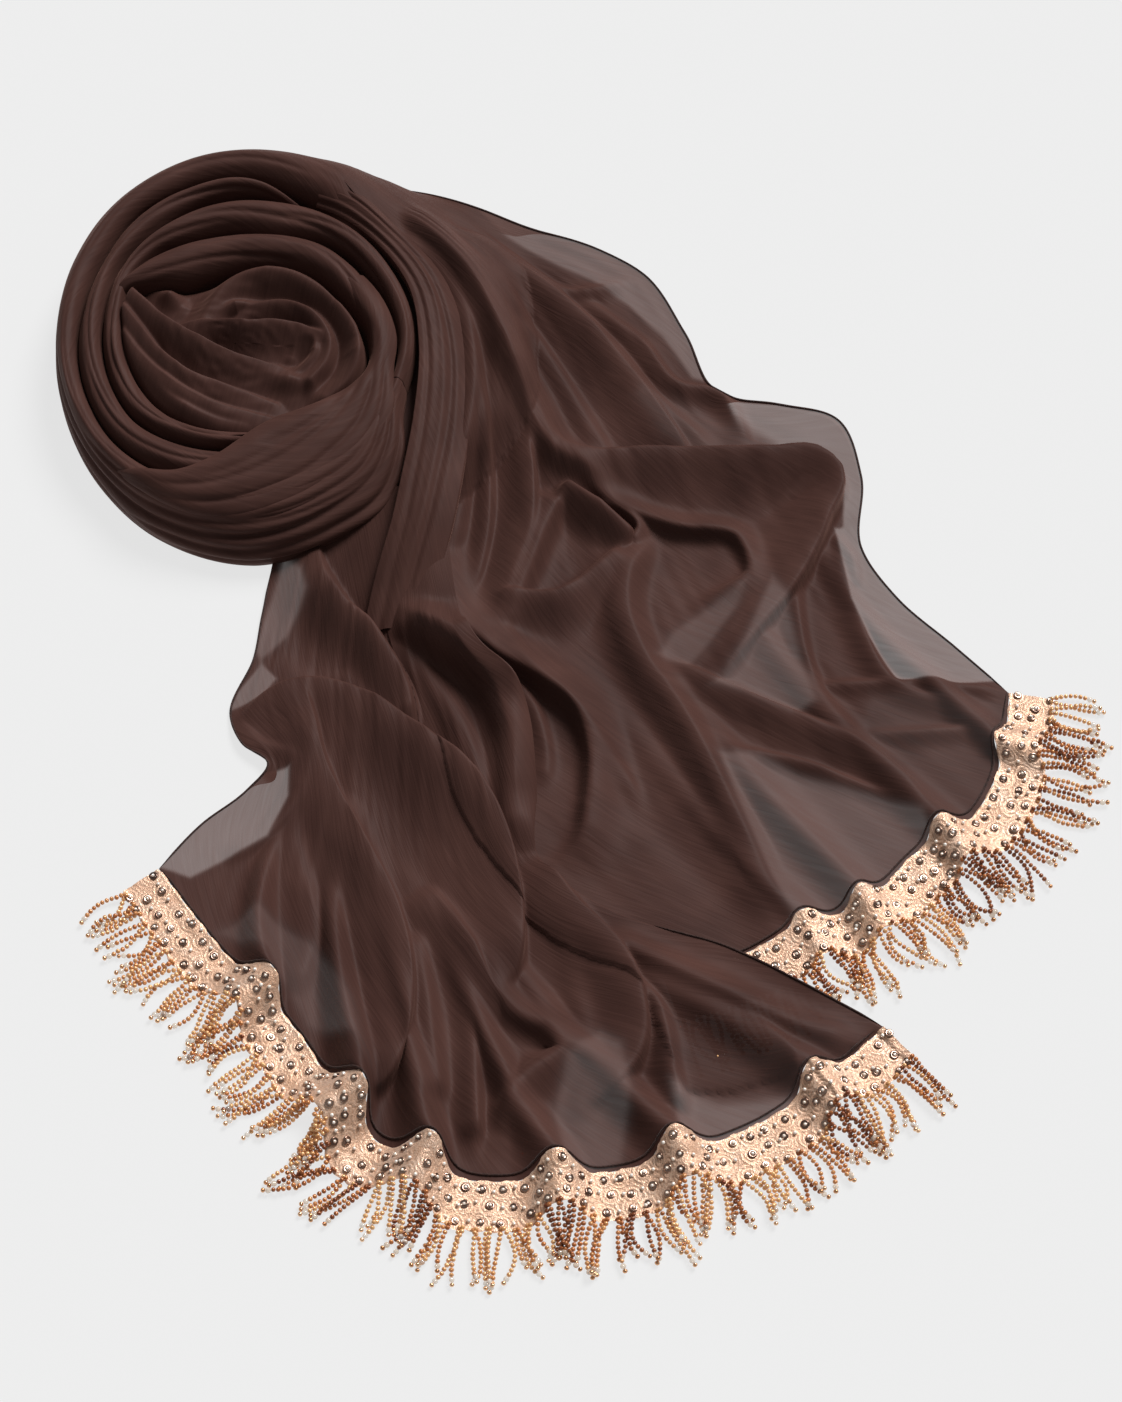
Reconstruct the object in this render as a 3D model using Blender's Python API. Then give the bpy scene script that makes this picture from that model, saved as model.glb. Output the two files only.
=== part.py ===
"""A long chiffon hijab, wound into a rosette at its middle, with both ends spread out on a table.

All sizes are in millimetres until a mesh is made. +Z is up, the table is z = 0, and the origin lies
on the table under the middle of the whole piece. The cloth is a wall of one thickness: each stretch
that shows is a piece of its own, and the layers hidden in the rosette are one rounded core.
"""

import math
from collections import namedtuple

import bmesh
import bpy
import numpy as np

MM = 0.001

# Cloth: the wall, its tallest plumb cut as a multiple of it, and the gaps at seams and between layers
WALL = 1.2
MOST_STEEP = 1.8
SEAM_GAP = 0.35
LAYER_GAP = 0.45

# Folds spread a little wider than their crests show, as rounded cloth does
FOLD_SPREAD = 1.25
FOLD_POINTS = 48

# Rounds that even out the plan of a panel
EVEN_ROUNDS = 400

# Parts of an end's length: where the hem's ridges begin, and where the rosette stops holding it up
RIDGES_BEGIN = 0.62
HELD_UNTIL = 0.22
BAND_CROWN = 5.0

# Rosette: where it stands, and the flat top of the core that its turns rest on
ROSETTE_CENTRE = (-230.0, 252.0)
CORE_TOP = 30.0
TURN_LEG = CORE_TOP + LAYER_GAP
HEART_FLOOR = 44.0
RIM_STEP = 0.12

# Grooves along the side of the outer turn: depth, number, and how they climb round the rosette
GROOVE_DEPTH = 2.2
GROOVES = 4
GROOVE_CLIMB = 0.12

# Rings of the core and of the heart: 0 is the rim, 1 the end of its rounded edge, 2 the middle
CORE_REACHES = (0.0, 0.3, 0.65, 1.0, 1.5)
HEART_REACHES = (0.0, 0.4, 1.0, 1.2, 1.4, 1.6, 1.8)

# Trim and fringe at each end
TRIM_WIDTH = 32.0
TRIM_FALL = 0.72
STRIP_GAP = 0.8
STRIP_WIDTH = 3.0
STRIP_THICK = 1.8
STRAND_LENGTH = 36.0
STRAND_SPACING = 6.3
STRAND_RANGE = (0.82, 1.1)
STRAND_SWAY = 0.035
STRAND_TIP = 0.6
FLOOR_GAP = 0.5

# Net of cells that keeps the height of what already lies on the table
CELL = 4.0
NET_HALF = 480.0
LAY_REACH = 4

SectionPoint = namedtuple("SectionPoint", "leg across up")
Turn = namedtuple("Turn", "angle inner crest outer height foot")
Rim = namedtuple("Rim", "angle radius edge")
Fold = namedtuple("Fold", "name start middle end left right path")
Ridge = namedtuple("Ridge", "along pull rise width")
Panel = namedtuple("Panel", "top hem left right ridges folds across down")

# The section of a turn, from its inner leg over its crest to its outer leg: which leg a point is on,
# how far it lies from the start of that leg, and how high between the leg's end and the crest.
TURN_SECTION = (
    SectionPoint("inner", 0.0, 0.0),
    SectionPoint("inner", 0.12, 0.62),
    SectionPoint("inner", 0.55, 0.93),
    SectionPoint("inner", 1.0, 1.0),
    SectionPoint("outer", 0.42, 0.9),
    SectionPoint("outer", 0.78, 0.62),
    SectionPoint("outer", 1.0, 0.3),
    SectionPoint("outer", 0.92, 0.0),
)
# Each turn of the rosette: at an angle, the radii of its inner leg, its crest and its outer leg, the
# height of its crest, and how high its outer leg ends.
OUTER_TURN = (
    Turn(60, 128, 151, 181, 57, 20),
    Turn(75, 137, 156, 180, 57, 8),
    Turn(90, 143, 160, 178, 56, 0),
    Turn(120, 138, 149, 165, 53, 0),
    Turn(145, 122, 134, 148, 48, 0),
    Turn(170, 113, 123, 132, 45, 0),
    Turn(200, 109, 118, 125, 43, 0),
    Turn(225, 111, 118, 130, 43, 0),
    Turn(250, 112, 119, 143, 44, 0),
    Turn(275, 110, 117, 156, 46, 0),
    Turn(298, 111, 117, 160, 48, 8),
    Turn(313, 111, 117.5, 161, 49, 15),
    Turn(325, 112, 118, 147, 51, 25),
    Turn(335, 112, 118, 130, 52, TURN_LEG),
    Turn(344, 112, 118, 124, 53, TURN_LEG),
)
SECOND_TURN = (
    Turn(71, 127.2, 129.3, 131.3, 40, TURN_LEG),
    Turn(84, 128, 133.5, 138.5, 57, TURN_LEG),
    Turn(108, 121, 131, 139, 57, TURN_LEG),
    Turn(124, 114, 124, 134, 55, TURN_LEG),
    Turn(141, 108, 115, 122, 53, TURN_LEG),
    Turn(160, 99, 107, 114, 51, TURN_LEG),
    Turn(181, 93, 101, 109.5, 49, TURN_LEG),
    Turn(203, 90, 99, 107.5, 48, TURN_LEG),
    Turn(222, 90, 100, 109, 48, TURN_LEG),
    Turn(245, 87, 99, 110, 49, TURN_LEG),
    Turn(272, 86, 97, 108, 50, TURN_LEG),
    Turn(300, 91, 101, 110, 52, TURN_LEG),
    Turn(330, 96, 104, 111, 54, TURN_LEG),
    Turn(352, 97, 104, 111, 56, TURN_LEG),
)
THIRD_TURN = (
    Turn(-15.7, 112, 118, 124, 53, TURN_LEG),
    Turn(0, 112.5, 119, 125.5, 55, TURN_LEG),
    Turn(29, 108, 117, 126, 58, TURN_LEG),
    Turn(50, 105, 117, 126.5, 60, TURN_LEG),
    Turn(78, 94, 112, 126, 60, TURN_LEG),
    Turn(95, 95, 110, 123.5, 60, TURN_LEG),
    Turn(112, 94, 107, 118, 59, TURN_LEG),
    Turn(129, 96, 104, 111, 57, TURN_LEG),
    Turn(144, 92, 99, 105.5, 55, TURN_LEG),
    Turn(161, 83, 91, 98, 53, TURN_LEG),
    Turn(184, 76, 84, 91.5, 51, TURN_LEG),
    Turn(222, 72, 81, 88.5, 49, TURN_LEG),
    Turn(250, 71, 78, 85, 50, TURN_LEG),
    Turn(280, 73, 79, 84, 51, TURN_LEG),
    Turn(308, 82, 86, 90, 44, TURN_LEG),
)
INNER_TURN = (
    Turn(-7.7, 97, 104, 111, 56, TURN_LEG),
    Turn(20, 84, 96, 107, 58, TURN_LEG),
    Turn(50, 76, 90, 103, 60, TURN_LEG),
    Turn(80, 64, 79, 92.5, 60, TURN_LEG),
    Turn(115, 54, 72, 90, 59, TURN_LEG),
    Turn(145, 52, 70, 88, 57, TURN_LEG),
    Turn(166, 60, 68, 76, 46, TURN_LEG),
)
# The rim of the heart, inside all the turns, and how far in from it the heart rounds over
HEART_RIM = (
    Rim(0, 92, 10),
    Rim(20, 82, 10),
    Rim(50, 74, 10),
    Rim(80, 62, 10),
    Rim(115, 52.5, 10),
    Rim(145, 50.5, 10),
    Rim(162, 56, 10),
    Rim(178, 73, 10),
    Rim(200, 73, 10),
    Rim(222, 70.5, 10),
    Rim(250, 69.5, 10),
    Rim(280, 71.5, 10),
    Rim(308, 80, 10),
    Rim(322, 90, 10),
    Rim(340, 95, 10),
    Rim(360, 92, 10),
)
# The rim of the hidden core: it reaches out low on the right, where both ends leave the rosette
CORE_RIM = (
    Rim(0, 192, 60),
    Rim(25, 192, 60),
    Rim(45, 168, 42),
    Rim(62, 142, 22),
    Rim(80, 134, 14),
    Rim(95, 138, 14),
    Rim(120, 132, 14),
    Rim(145, 117, 14),
    Rim(180, 107, 14),
    Rim(225, 105, 14),
    Rim(270, 105, 14),
    Rim(300, 106, 14),
    Rim(320, 124, 22),
    Rim(336, 152, 40),
    Rim(360, 192, 60),
)
# A fold is a soft ridge: its heights at the start, middle and end of its path, and how far it
# spreads to the left and to the right of that path.
HEART_FOLDS = (
    Fold("upper petal", 6, 10, 8, 11, 9, ((-252, 274), (-226, 292), (-186, 290), (-156, 270))),
    Fold("hooked petal", 9, 12, 9, 9, 9, ((-218, 276), (-180, 272), (-156, 248), (-176, 206))),
    Fold("left petal", 9, 10, 12, 12, 10, ((-292, 268), (-262, 248), (-224, 238), (-206, 212))),
    Fold("lower lip", 9, 9, 8, 9, 9, ((-284, 224), (-246, 196), (-206, 190), (-150, 220))),
)

FRONT_TAIL = Panel(
    top=((-198, 96, 3), (-168, 106, 5), (-142, 116, 8), (-119, 110.5, 32), (-98, 112.5, 38),
         (-80, 113.5, 30)),
    hem=((-267, -135), (-224, -193), (-171, -254), (-126, -323), (-77, -351), (0, -352),
         (70, -338), (150, -297), (202, -250)),
    left=((-198, 96), (-206, 63), (-211, 25), (-225, -20), (-216, -43), (-198, -59), (-211, -76),
          (-240, -101), (-267, -135)),
    right=((-80, 113.5), (-78, 84), (-64, 28), (-30, -14), (-20, -76), (-18, -131), (26, -166),
           (104, -195), (170, -232), (202, -250)),
    ridges=(
        Ridge(0.20, 12, 18, 14),
        Ridge(0.40, 18, 26, 16),
        Ridge(0.525, 17, 18, 13),
        Ridge(0.67, 15, 16, 13),
        Ridge(0.79, 13, 17, 14),
        Ridge(0.92, 10, 12, 14),
    ),
    folds=(
        Fold("edge from the rosette", 14, 22, 8, 13, 14, ((-178, 100), (-160, 60), (-137, 34), (-110, -30))),
        Fold("right edge", 20, 15, 10, 13, 11, ((-112, 70), (-75, 38), (-36, -20), (-26, -122))),
        Fold("bell", 6, 22, 12, 13, 17, ((-212, -22), (-160, -6), (-111, -38), (-62, -89), (-41, -148),
                                       (-40, -225))),
        Fold("left panel", 16, 14, 20, 10, 12, ((-179, -6), (-160, -76), (-118, -165), (-108, -250),
                                              (-128, -290))),
        Fold("tip", 4, 6, 3, 9, 9, ((-215, -36), (-182, -68), (-200, -108))),
        Fold("centre", 3, 12, 12, 12, 12, ((-98, -190), (-92, -250), (-86, -306))),
        Fold("diagonal", 4, 13, 5, 12, 12, ((-96, -149), (-66, -196), (-33, -241))),
        Fold("swirl", 3, 13, 14, 11, 11, ((-54, -203), (-10, -250), (-22, -292), (-16, -334))),
        Fold("inner edge", 10, 17, 6, 12, 12, ((-22, -127), (22, -190), (40, -240), (34, -270))),
        Fold("to fifth ridge", 5, 12, 14, 10, 10, ((44, -220), (60, -270), (62, -330))),
        Fold("right roll", 10, 12, 8, 11, 10, ((14, -182), (60, -209), (120, -240), (180, -258))),
        Fold("to sixth ridge", 6, 10, 12, 10, 10, ((104, -240), (134, -272), (146, -296))),
    ),
    across=41,
    down=26,
)
REAR_TAIL = Panel(
    top=((-152, 385, 54), (-148, 392, 53), (-144, 399, 47), (-140, 407, 31)),
    hem=((62, -216), (110, -199), (150, -178), (194, -160), (228, -124), (264, -100), (288, -56),
         (297, -2)),
    left=((-152, 385), (-117, 357), (-83, 314), (-66, 250), (-69, 190), (-76, 120), (-88, 60),
          (-72, -10), (-50, -90), (0, -170), (62, -216)),
    right=((-140, 407), (-96, 402), (-36, 386), (24, 366), (54, 346), (84, 292), (107, 240), (150, 231),
           (188, 220), (204, 172), (202, 112), (224, 73), (262, 34), (297, -2)),
    ridges=(
        Ridge(0.30, 8, 8, 11),
        Ridge(0.42, 9, 12, 11),
        Ridge(0.64, 11, 14, 12),
        Ridge(0.88, 8, 11, 11),
    ),
    folds=(
        Fold("first from the rosette", 12, 18, 18, 12, 10, ((-128, 378), (-66, 318), (-36, 240), (-6, 176),
                                                         (30, 164))),
        Fold("second from the rosette", 12, 17, 12, 12, 12, ((-110, 386), (-40, 318), (0, 240), (24, 186))),
        Fold("third from the rosette", 10, 14, 10, 14, 14, ((-88, 380), (-15, 318), (41, 247), (86, 186))),
        Fold("double edge", 3, 8, 5, 10, 10, ((8, 320), (58, 274), (90, 238), (126, 204))),
        Fold("long shelf", 12, 18, 14, 14, 12, ((-6, 186), (58, 178), (141, 175), (176, 168))),
        Fold("shelf return", 8, 13, 8, 10, 10, ((20, 160), (74, 134), (120, 120), (104, 70))),
        Fold("right swirl", 14, 14, 6, 11, 11, ((176, 162), (168, 120), (150, 80), (96, 4))),
        Fold("knot", 18, 20, 12, 11, 11, ((-6, 158), (18, 136), (44, 108))),
        Fold("pocket lip", 8, 13, 8, 11, 11, ((-36, 66), (-1, 67), (30, 92))),
        Fold("left of the pocket", 12, 14, 6, 11, 11, ((-12, 150), (-28, 112), (-40, 52))),
        Fold("turned edge", 12, 13, 9, 18, 9, ((48, 84), (52, 36), (81, -15), (115, -94), (142, -168))),
        Fold("middle", 6, 10, 4, 11, 11, ((-20, 24), (14, -20), (44, -88))),
        Fold("low band", 9, 11, 9, 11, 11, ((64, 19), (115, -10), (190, -52), (232, -112))),
        Fold("outer band", 3, 8, 5, 11, 11, ((183, 117), (194, 55), (220, 4), (270, -20))),
        Fold("inner band", 4, 8, 4, 11, 11, ((156, 100), (156, 50), (176, -8), (204, -50))),
    ),
    across=33,
    down=22,
)
SHOULDER_BAND = Panel(
    top=((-165, 364, 44), (-155, 382, 54)),
    hem=((-118, 111.5, 34), (-80, 114.5, 31)),
    left=((-165, 364, 44), (-133, 335.5, 50), (-110.5, 298, 52), (-102.5, 250, 51), (-105, 196, 47),
          (-112, 146, 41), (-118, 111.5, 34)),
    right=((-155, 382, 54), (-121, 352, 50), (-88, 314, 44), (-69, 250, 40), (-67, 190, 37), (-73, 145, 34),
           (-80, 114.5, 31)),
    ridges=(),
    folds=(),
    across=7,
    down=18,
)

COLOURS = {
    "cloth": (0.052, 0.031, 0.026, 1.0),
    "trim": (0.62, 0.43, 0.32, 1.0),
    "fringe": (0.42, 0.17, 0.08, 1.0),
}


# ---- curves ----


def smooth_step(value):
    """0 below 0 and 1 above 1, with a soft rise between."""
    value = np.clip(value, 0.0, 1.0)
    return value * value * (3.0 - 2.0 * value)


def read_between(knots, rows, places):
    """Rows of numbers read at places along the knots, on a smooth curve through every row."""
    knots = np.asarray(knots, float)
    rows = np.asarray(rows, float).reshape(len(knots), -1)
    slopes = np.gradient(rows, knots, axis=0)
    start = np.clip(np.searchsorted(knots, places, side="right") - 1, 0, len(knots) - 2)
    width = (knots[start + 1] - knots[start])[:, None]
    part = ((places - knots[start]) / width[:, 0])[:, None]
    bend = part * part * (3.0 - 2.0 * part)
    leave = part * (1.0 - part) ** 2 * width * slopes[start]
    arrive = part * part * (part - 1.0) * width * slopes[start + 1]
    return (1.0 - bend) * rows[start] + bend * rows[start + 1] + leave + arrive


def curve_through(points, count):
    """Evenly spaced points along a smooth curve through the given ones."""
    points = np.asarray(points, float)
    knots = np.concatenate([[0.0], np.cumsum(np.linalg.norm(np.diff(points, axis=0), axis=1))])
    fine = read_between(knots, points, np.linspace(0.0, knots[-1], 12 * len(points)))
    run = np.concatenate([[0.0], np.cumsum(np.linalg.norm(np.diff(fine, axis=0), axis=1))])
    even = np.linspace(0.0, run[-1], count)
    return np.stack([np.interp(even, run, column) for column in fine.T], axis=1)


def rim_sizes(rims, angles):
    """The radius of a rim and the depth of its rounded edge at each angle, in degrees."""
    rows = read_between([rim.angle for rim in rims], [(rim.radius, rim.edge) for rim in rims], angles)
    return rows[:, 0], rows[:, 1]


# ---- what lies below ----


class Table:
    """The height of all that already lies on the table, on a square net of cells."""

    def __init__(self):
        self.size = int(2 * NET_HALF / CELL)
        self.height = np.zeros((self.size, self.size))

    def cells(self, points):
        """The place of each point in the net, in cells."""
        return (points[..., :2] + NET_HALF) / CELL

    def lay(self, surface):
        """Adds a surface, given as a grid of points close enough to leave no cell between them."""
        place = np.clip(self.cells(surface).astype(int), 0, self.size - 1).reshape(-1, 2)
        np.maximum.at(self.height, (place[:, 0], place[:, 1]), surface[..., 2].ravel())

    def spread(self):
        """The highest height within a short reach of each cell, softened."""
        high = self.height
        for _ in range(LAY_REACH):
            padded = np.pad(high, 1, mode="edge")
            rows = np.maximum(np.maximum(padded[:-2], padded[2:]), padded[1:-1])
            high = np.maximum(np.maximum(rows[:, :-2], rows[:, 2:]), rows[:, 1:-1])
        for _ in range(LAY_REACH):
            padded = np.pad(high, 1, mode="edge")
            rows = (padded[:-2] + padded[2:] + 2.0 * padded[1:-1]) / 4.0
            high = (rows[:, :-2] + rows[:, 2:] + 2.0 * rows[:, 1:-1]) / 4.0
        return high

    def under(self, points):
        """The height to clear below each point."""
        high = self.spread()
        place = np.clip(self.cells(points) - 0.5, 0, self.size - 2)
        corner = place.astype(int)
        part = place - corner
        x, y = corner[..., 0], corner[..., 1]
        low_side = high[x, y] * (1 - part[..., 0]) + high[x + 1, y] * part[..., 0]
        high_side = high[x, y + 1] * (1 - part[..., 0]) + high[x + 1, y + 1] * part[..., 0]
        return low_side * (1 - part[..., 1]) + high_side * part[..., 1]


def refined(surface, times):
    """A grid of points with more points between them, on the same flat facets."""
    rows, columns = surface.shape[:2]
    down = np.linspace(0, rows - 1, (rows - 1) * times + 1)
    across = np.linspace(0, columns - 1, (columns - 1) * times + 1)
    row = np.minimum(down.astype(int), rows - 2)
    column = np.minimum(across.astype(int), columns - 2)
    lower = (down - row)[:, None, None]
    right = (across - column)[None, :, None]
    upper_side = surface[row][:, column] * (1 - right) + surface[row][:, column + 1] * right
    lower_side = surface[row + 1][:, column] * (1 - right) + surface[row + 1][:, column + 1] * right
    return upper_side * (1 - lower) + lower_side * lower


# ---- cloth ----


def fold_height(plan, folds):
    """How high the folds raise the cloth at each point of the plan."""
    flat = plan.reshape(-1, 2)
    total = np.zeros(len(flat))
    for fold in folds:
        line = curve_through(fold.path, FOLD_POINTS)
        direction = np.gradient(line, axis=0)
        away = flat[:, None] - line[None]
        near = np.argmin((away**2).sum(axis=2), axis=1)
        away = away[np.arange(len(flat)), near]
        side = direction[near, 0] * away[:, 1] - direction[near, 1] * away[:, 0]
        side /= np.linalg.norm(direction[near], axis=1) * np.linalg.norm(away, axis=1) + 1e-9
        width = FOLD_SPREAD * 0.5 * (fold.left + fold.right + (fold.left - fold.right) * side)
        along = near / (FOLD_POINTS - 1)
        crest = np.interp(along, (0.0, 0.5, 1.0), (fold.start, fold.middle, fold.end))
        rise = crest * np.exp(-(away**2).sum(axis=1) / width**2)
        total += rise**3
    return np.cbrt(total).reshape(plan.shape[:2])


def ridged_hem(panel, count):
    """The hem line with its ridges, how they raise it, and its outward directions."""
    line = curve_through([point[:2] for point in panel.hem], count)
    ahead = np.gradient(line, axis=0)
    ahead /= np.linalg.norm(ahead, axis=1)[:, None]
    for _ in range(6):
        ahead[1:-1] = (ahead[:-2] + 2 * ahead[1:-1] + ahead[2:]) / 4
    outward = np.stack([ahead[:, 1], -ahead[:, 0]], axis=1)
    outward /= np.linalg.norm(outward, axis=1)[:, None]
    run = np.linspace(0.0, np.linalg.norm(np.diff(line, axis=0), axis=1).sum(), count)
    pull = np.zeros(count)
    rise = np.zeros(count)
    for ridge in panel.ridges:
        shape = np.exp(-(((run - ridge.along * run[-1]) / ridge.width) ** 2))
        pull += ridge.pull * shape
        rise += ridge.rise * shape
    return line - outward * pull[:, None], rise, outward


def evened(plan):
    """The same plan with its edges kept and its inner points moved until no cell turns over."""
    for _ in range(EVEN_ROUNDS):
        down = 0.5 * (plan[2:, 1:-1] - plan[:-2, 1:-1])
        across = 0.5 * (plan[1:-1, 2:] - plan[1:-1, :-2])
        skew = plan[2:, 2:] - plan[2:, :-2] - plan[:-2, 2:] + plan[:-2, :-2]
        long_down = (down**2).sum(axis=2)[..., None]
        long_across = (across**2).sum(axis=2)[..., None]
        turned = (down * across).sum(axis=2)[..., None]
        inner = long_down * (plan[1:-1, 2:] + plan[1:-1, :-2])
        inner = inner + long_across * (plan[2:, 1:-1] + plan[:-2, 1:-1])
        inner = (inner - 0.5 * turned * skew) / (2.0 * (long_down + long_across))
        plan = plan.copy()
        plan[1:-1, 1:-1] = inner
    return plan


def panel_plan(panel):
    """The plan of a panel between its four edges, from its top row to its hem."""
    top = curve_through([point[:2] for point in panel.top], panel.across)
    hem = ridged_hem(panel, panel.across)[0]
    left = curve_through([point[:2] for point in panel.left], panel.down)
    right = curve_through([point[:2] for point in panel.right], panel.down)
    left[-1], right[-1] = hem[0], hem[-1]
    across = np.linspace(0, 1, panel.across)[None, :, None]
    down = np.linspace(0, 1, panel.down)[:, None, None]
    ruled = (1 - down) * top[None] + down * hem[None]
    ruled = ruled + (1 - across) * left[:, None] + across * right[:, None]
    corners = (1 - down) * ((1 - across) * top[0] + across * top[-1])
    corners = corners + down * ((1 - across) * hem[0] + across * hem[-1])
    return evened(ruled - corners)


def slope_factor(surface):
    """How much taller than the wall a plumb cut through it is, at each point."""
    down = np.gradient(surface, axis=0)
    across = np.gradient(surface, axis=1)
    normal = np.cross(down, across)
    upright = np.abs(normal[..., 2]) / np.maximum(np.linalg.norm(normal, axis=-1), 1e-9)
    return np.minimum(1.0 / np.maximum(upright, 0.2), MOST_STEEP)


def laid_wall(plan, rise, table):
    """Top and underside of cloth that lies on the table and on all that is below it."""
    below = table.under(plan)
    below = np.where(below > WALL, below + LAYER_GAP, 0.0)
    top = np.dstack([plan, below + WALL + rise])
    plumb = WALL * slope_factor(top)
    low = np.maximum(below, top[..., 2] - plumb)
    top[..., 2] = np.maximum(top[..., 2], low + WALL)
    return top, np.dstack([plan, low])


def tail_wall(panel, table):
    """Top and underside of one end of the hijab, from the rosette to its hem."""
    plan = panel_plan(panel)
    _, hem_rise, _ = ridged_hem(panel, panel.across)
    down = np.linspace(0, 1, panel.down)[:, None]
    near_hem = smooth_step((down - RIDGES_BEGIN) / (1.0 - RIDGES_BEGIN))
    rise = fold_height(plan, panel.folds)
    rise = np.cbrt(rise**3 + (hem_rise[None] * near_hem) ** 3)
    lift = curve_through(panel.top, panel.across)[:, 2] - WALL
    held_up = lift[None] * (1.0 - smooth_step(down / HELD_UNTIL))
    below = table.under(plan)
    return laid_wall(plan, np.maximum(rise, held_up - below), table)


def band_wall(panel):
    """Top and underside of a narrow band whose edges give its heights."""
    left = curve_through(panel.left, panel.down)
    right = curve_through(panel.right, panel.down)
    across = np.linspace(0, 1, panel.across)[None, :, None]
    top = left[:, None] * (1 - across) + right[:, None] * across
    top[..., 2] += BAND_CROWN * np.sin(math.pi * across[..., 0])
    under = top.copy()
    under[..., 2] -= WALL * slope_factor(top)
    return top, under


# ---- rosette ----


def turn_section(inner, crest, outer, height, foot, count):
    """Half a turn's tube: radii and heights from the inner leg over the crest to the outer leg."""
    points = []
    for point in TURN_SECTION:
        if point.leg == "inner":
            points.append((inner + point.across * (crest - inner), TURN_LEG + point.up * (height - TURN_LEG)))
        else:
            points.append((crest + point.across * (outer - crest), foot + point.up * (height - foot)))
    return curve_through(points, count)


def side_grooves(count, angle):
    """How far each section point of the outer turn is drawn in or out by the grooves on its side."""
    part = np.linspace(0, 1, count)
    on_side = smooth_step((part - 0.45) / 0.1) * smooth_step((1.0 - part) / 0.12)
    wave = np.sin(2 * math.pi * GROOVES * (part - GROOVE_CLIMB * angle))
    return GROOVE_DEPTH * on_side * wave


def turn_wall(turns, steps, count, grooved=False):
    """Top and underside of a turn of the rosette, as a grid of angles by section points."""
    angles = np.linspace(turns[0].angle, turns[-1].angle, steps)
    rows = read_between([turn.angle for turn in turns], [tuple(turn)[1:] for turn in turns], angles)
    top = np.zeros((steps, count, 3))
    under = np.zeros((steps, count, 3))
    rows[:, -1] = np.maximum(rows[:, -1], 0.0)
    for step, angle in enumerate(np.radians(angles)):
        section = turn_section(*rows[step], count)
        ahead = np.gradient(section, axis=0)
        ahead /= np.linalg.norm(ahead, axis=1)[:, None]
        inward = np.stack([ahead[:, 1], -ahead[:, 0]], axis=1)
        if grooved:
            section = section + inward * side_grooves(count, angle)[:, None]
        section[:, 1] = np.maximum(section[:, 1], section[-1, 1])
        inside = section + inward * WALL
        inside[:, 1] = np.maximum(inside[:, 1], min(section[-1, 1], TURN_LEG))
        for target, line in ((top, section), (under, inside)):
            target[step, :, 0] = ROSETTE_CENTRE[0] + line[:, 0] * math.cos(angle)
            target[step, :, 1] = ROSETTE_CENTRE[1] + line[:, 0] * math.sin(angle)
            target[step, :, 2] = line[:, 1]
    return top, under


def mound(rims, steps, reaches, low, height):
    """Rings of points from a rim towards its middle: the rounded top of a solid."""
    angles = np.linspace(0, 360, steps, endpoint=False)
    radius, edge = rim_sizes(rims, angles)
    points = np.zeros((steps, len(reaches), 3))
    for ring, reach in enumerate(reaches):
        inset = np.where(reach < 1.0, reach * edge, edge + (reach - 1.0) * (radius - edge))
        points[:, ring, 0] = ROSETTE_CENTRE[0] + (radius - inset) * np.cos(np.radians(angles))
        points[:, ring, 1] = ROSETTE_CENTRE[1] + (radius - inset) * np.sin(np.radians(angles))
        rounded = math.sqrt(1.0 - (1.0 - min(reach, 1.0)) ** 2)
        points[:, ring, 2] = low + height * max(rounded, RIM_STEP)
    return points


# ---- meshes ----


def material(name):
    """A plain finish of the named colour."""
    finish = bpy.data.materials.get(name)
    if finish is None:
        finish = bpy.data.materials.new(name)
        finish.use_nodes = True
        shader = finish.node_tree.nodes["Principled BSDF"]
        shader.inputs["Base Color"].default_value = COLOURS[name]
        shader.inputs["Roughness"].default_value = 0.6
        finish.diffuse_color = COLOURS[name]
    return finish


def add_object(name, shape, finish):
    """An object made from a bmesh, with its faces turned out."""
    bmesh.ops.recalc_face_normals(shape, faces=shape.faces)
    if shape.calc_volume(signed=True) < 0:
        bmesh.ops.reverse_faces(shape, faces=shape.faces)
    mesh = bpy.data.meshes.new(name)
    shape.to_mesh(mesh)
    shape.free()
    mesh.shade_smooth()
    mesh.set_sharp_from_angle(angle=math.radians(50))
    mesh.materials.append(material(finish))
    made = bpy.data.objects.new(name, mesh)
    bpy.context.scene.collection.objects.link(made)
    return made


def first_corners(top):
    """Where the two triangles of each cell begin: at the corner that leaves them the flattest.

    Both sides of a wall are cut into triangles from the same corners, so that they never cross.
    """
    corners = (top[:-1, :-1], top[:-1, 1:], top[1:, 1:], top[1:, :-1])
    flatness = []
    for first in (0, 1):
        start, second, far, last = corners[first:] + corners[:first]
        one = np.cross(second - start, far - start)
        other = np.cross(far - start, last - start)
        lengths = np.linalg.norm(one, axis=2) * np.linalg.norm(other, axis=2)
        flatness.append((one * other).sum(axis=2) / np.maximum(lengths, 1e-9))
    return np.where(flatness[1] > flatness[0], 1, 0)


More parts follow.
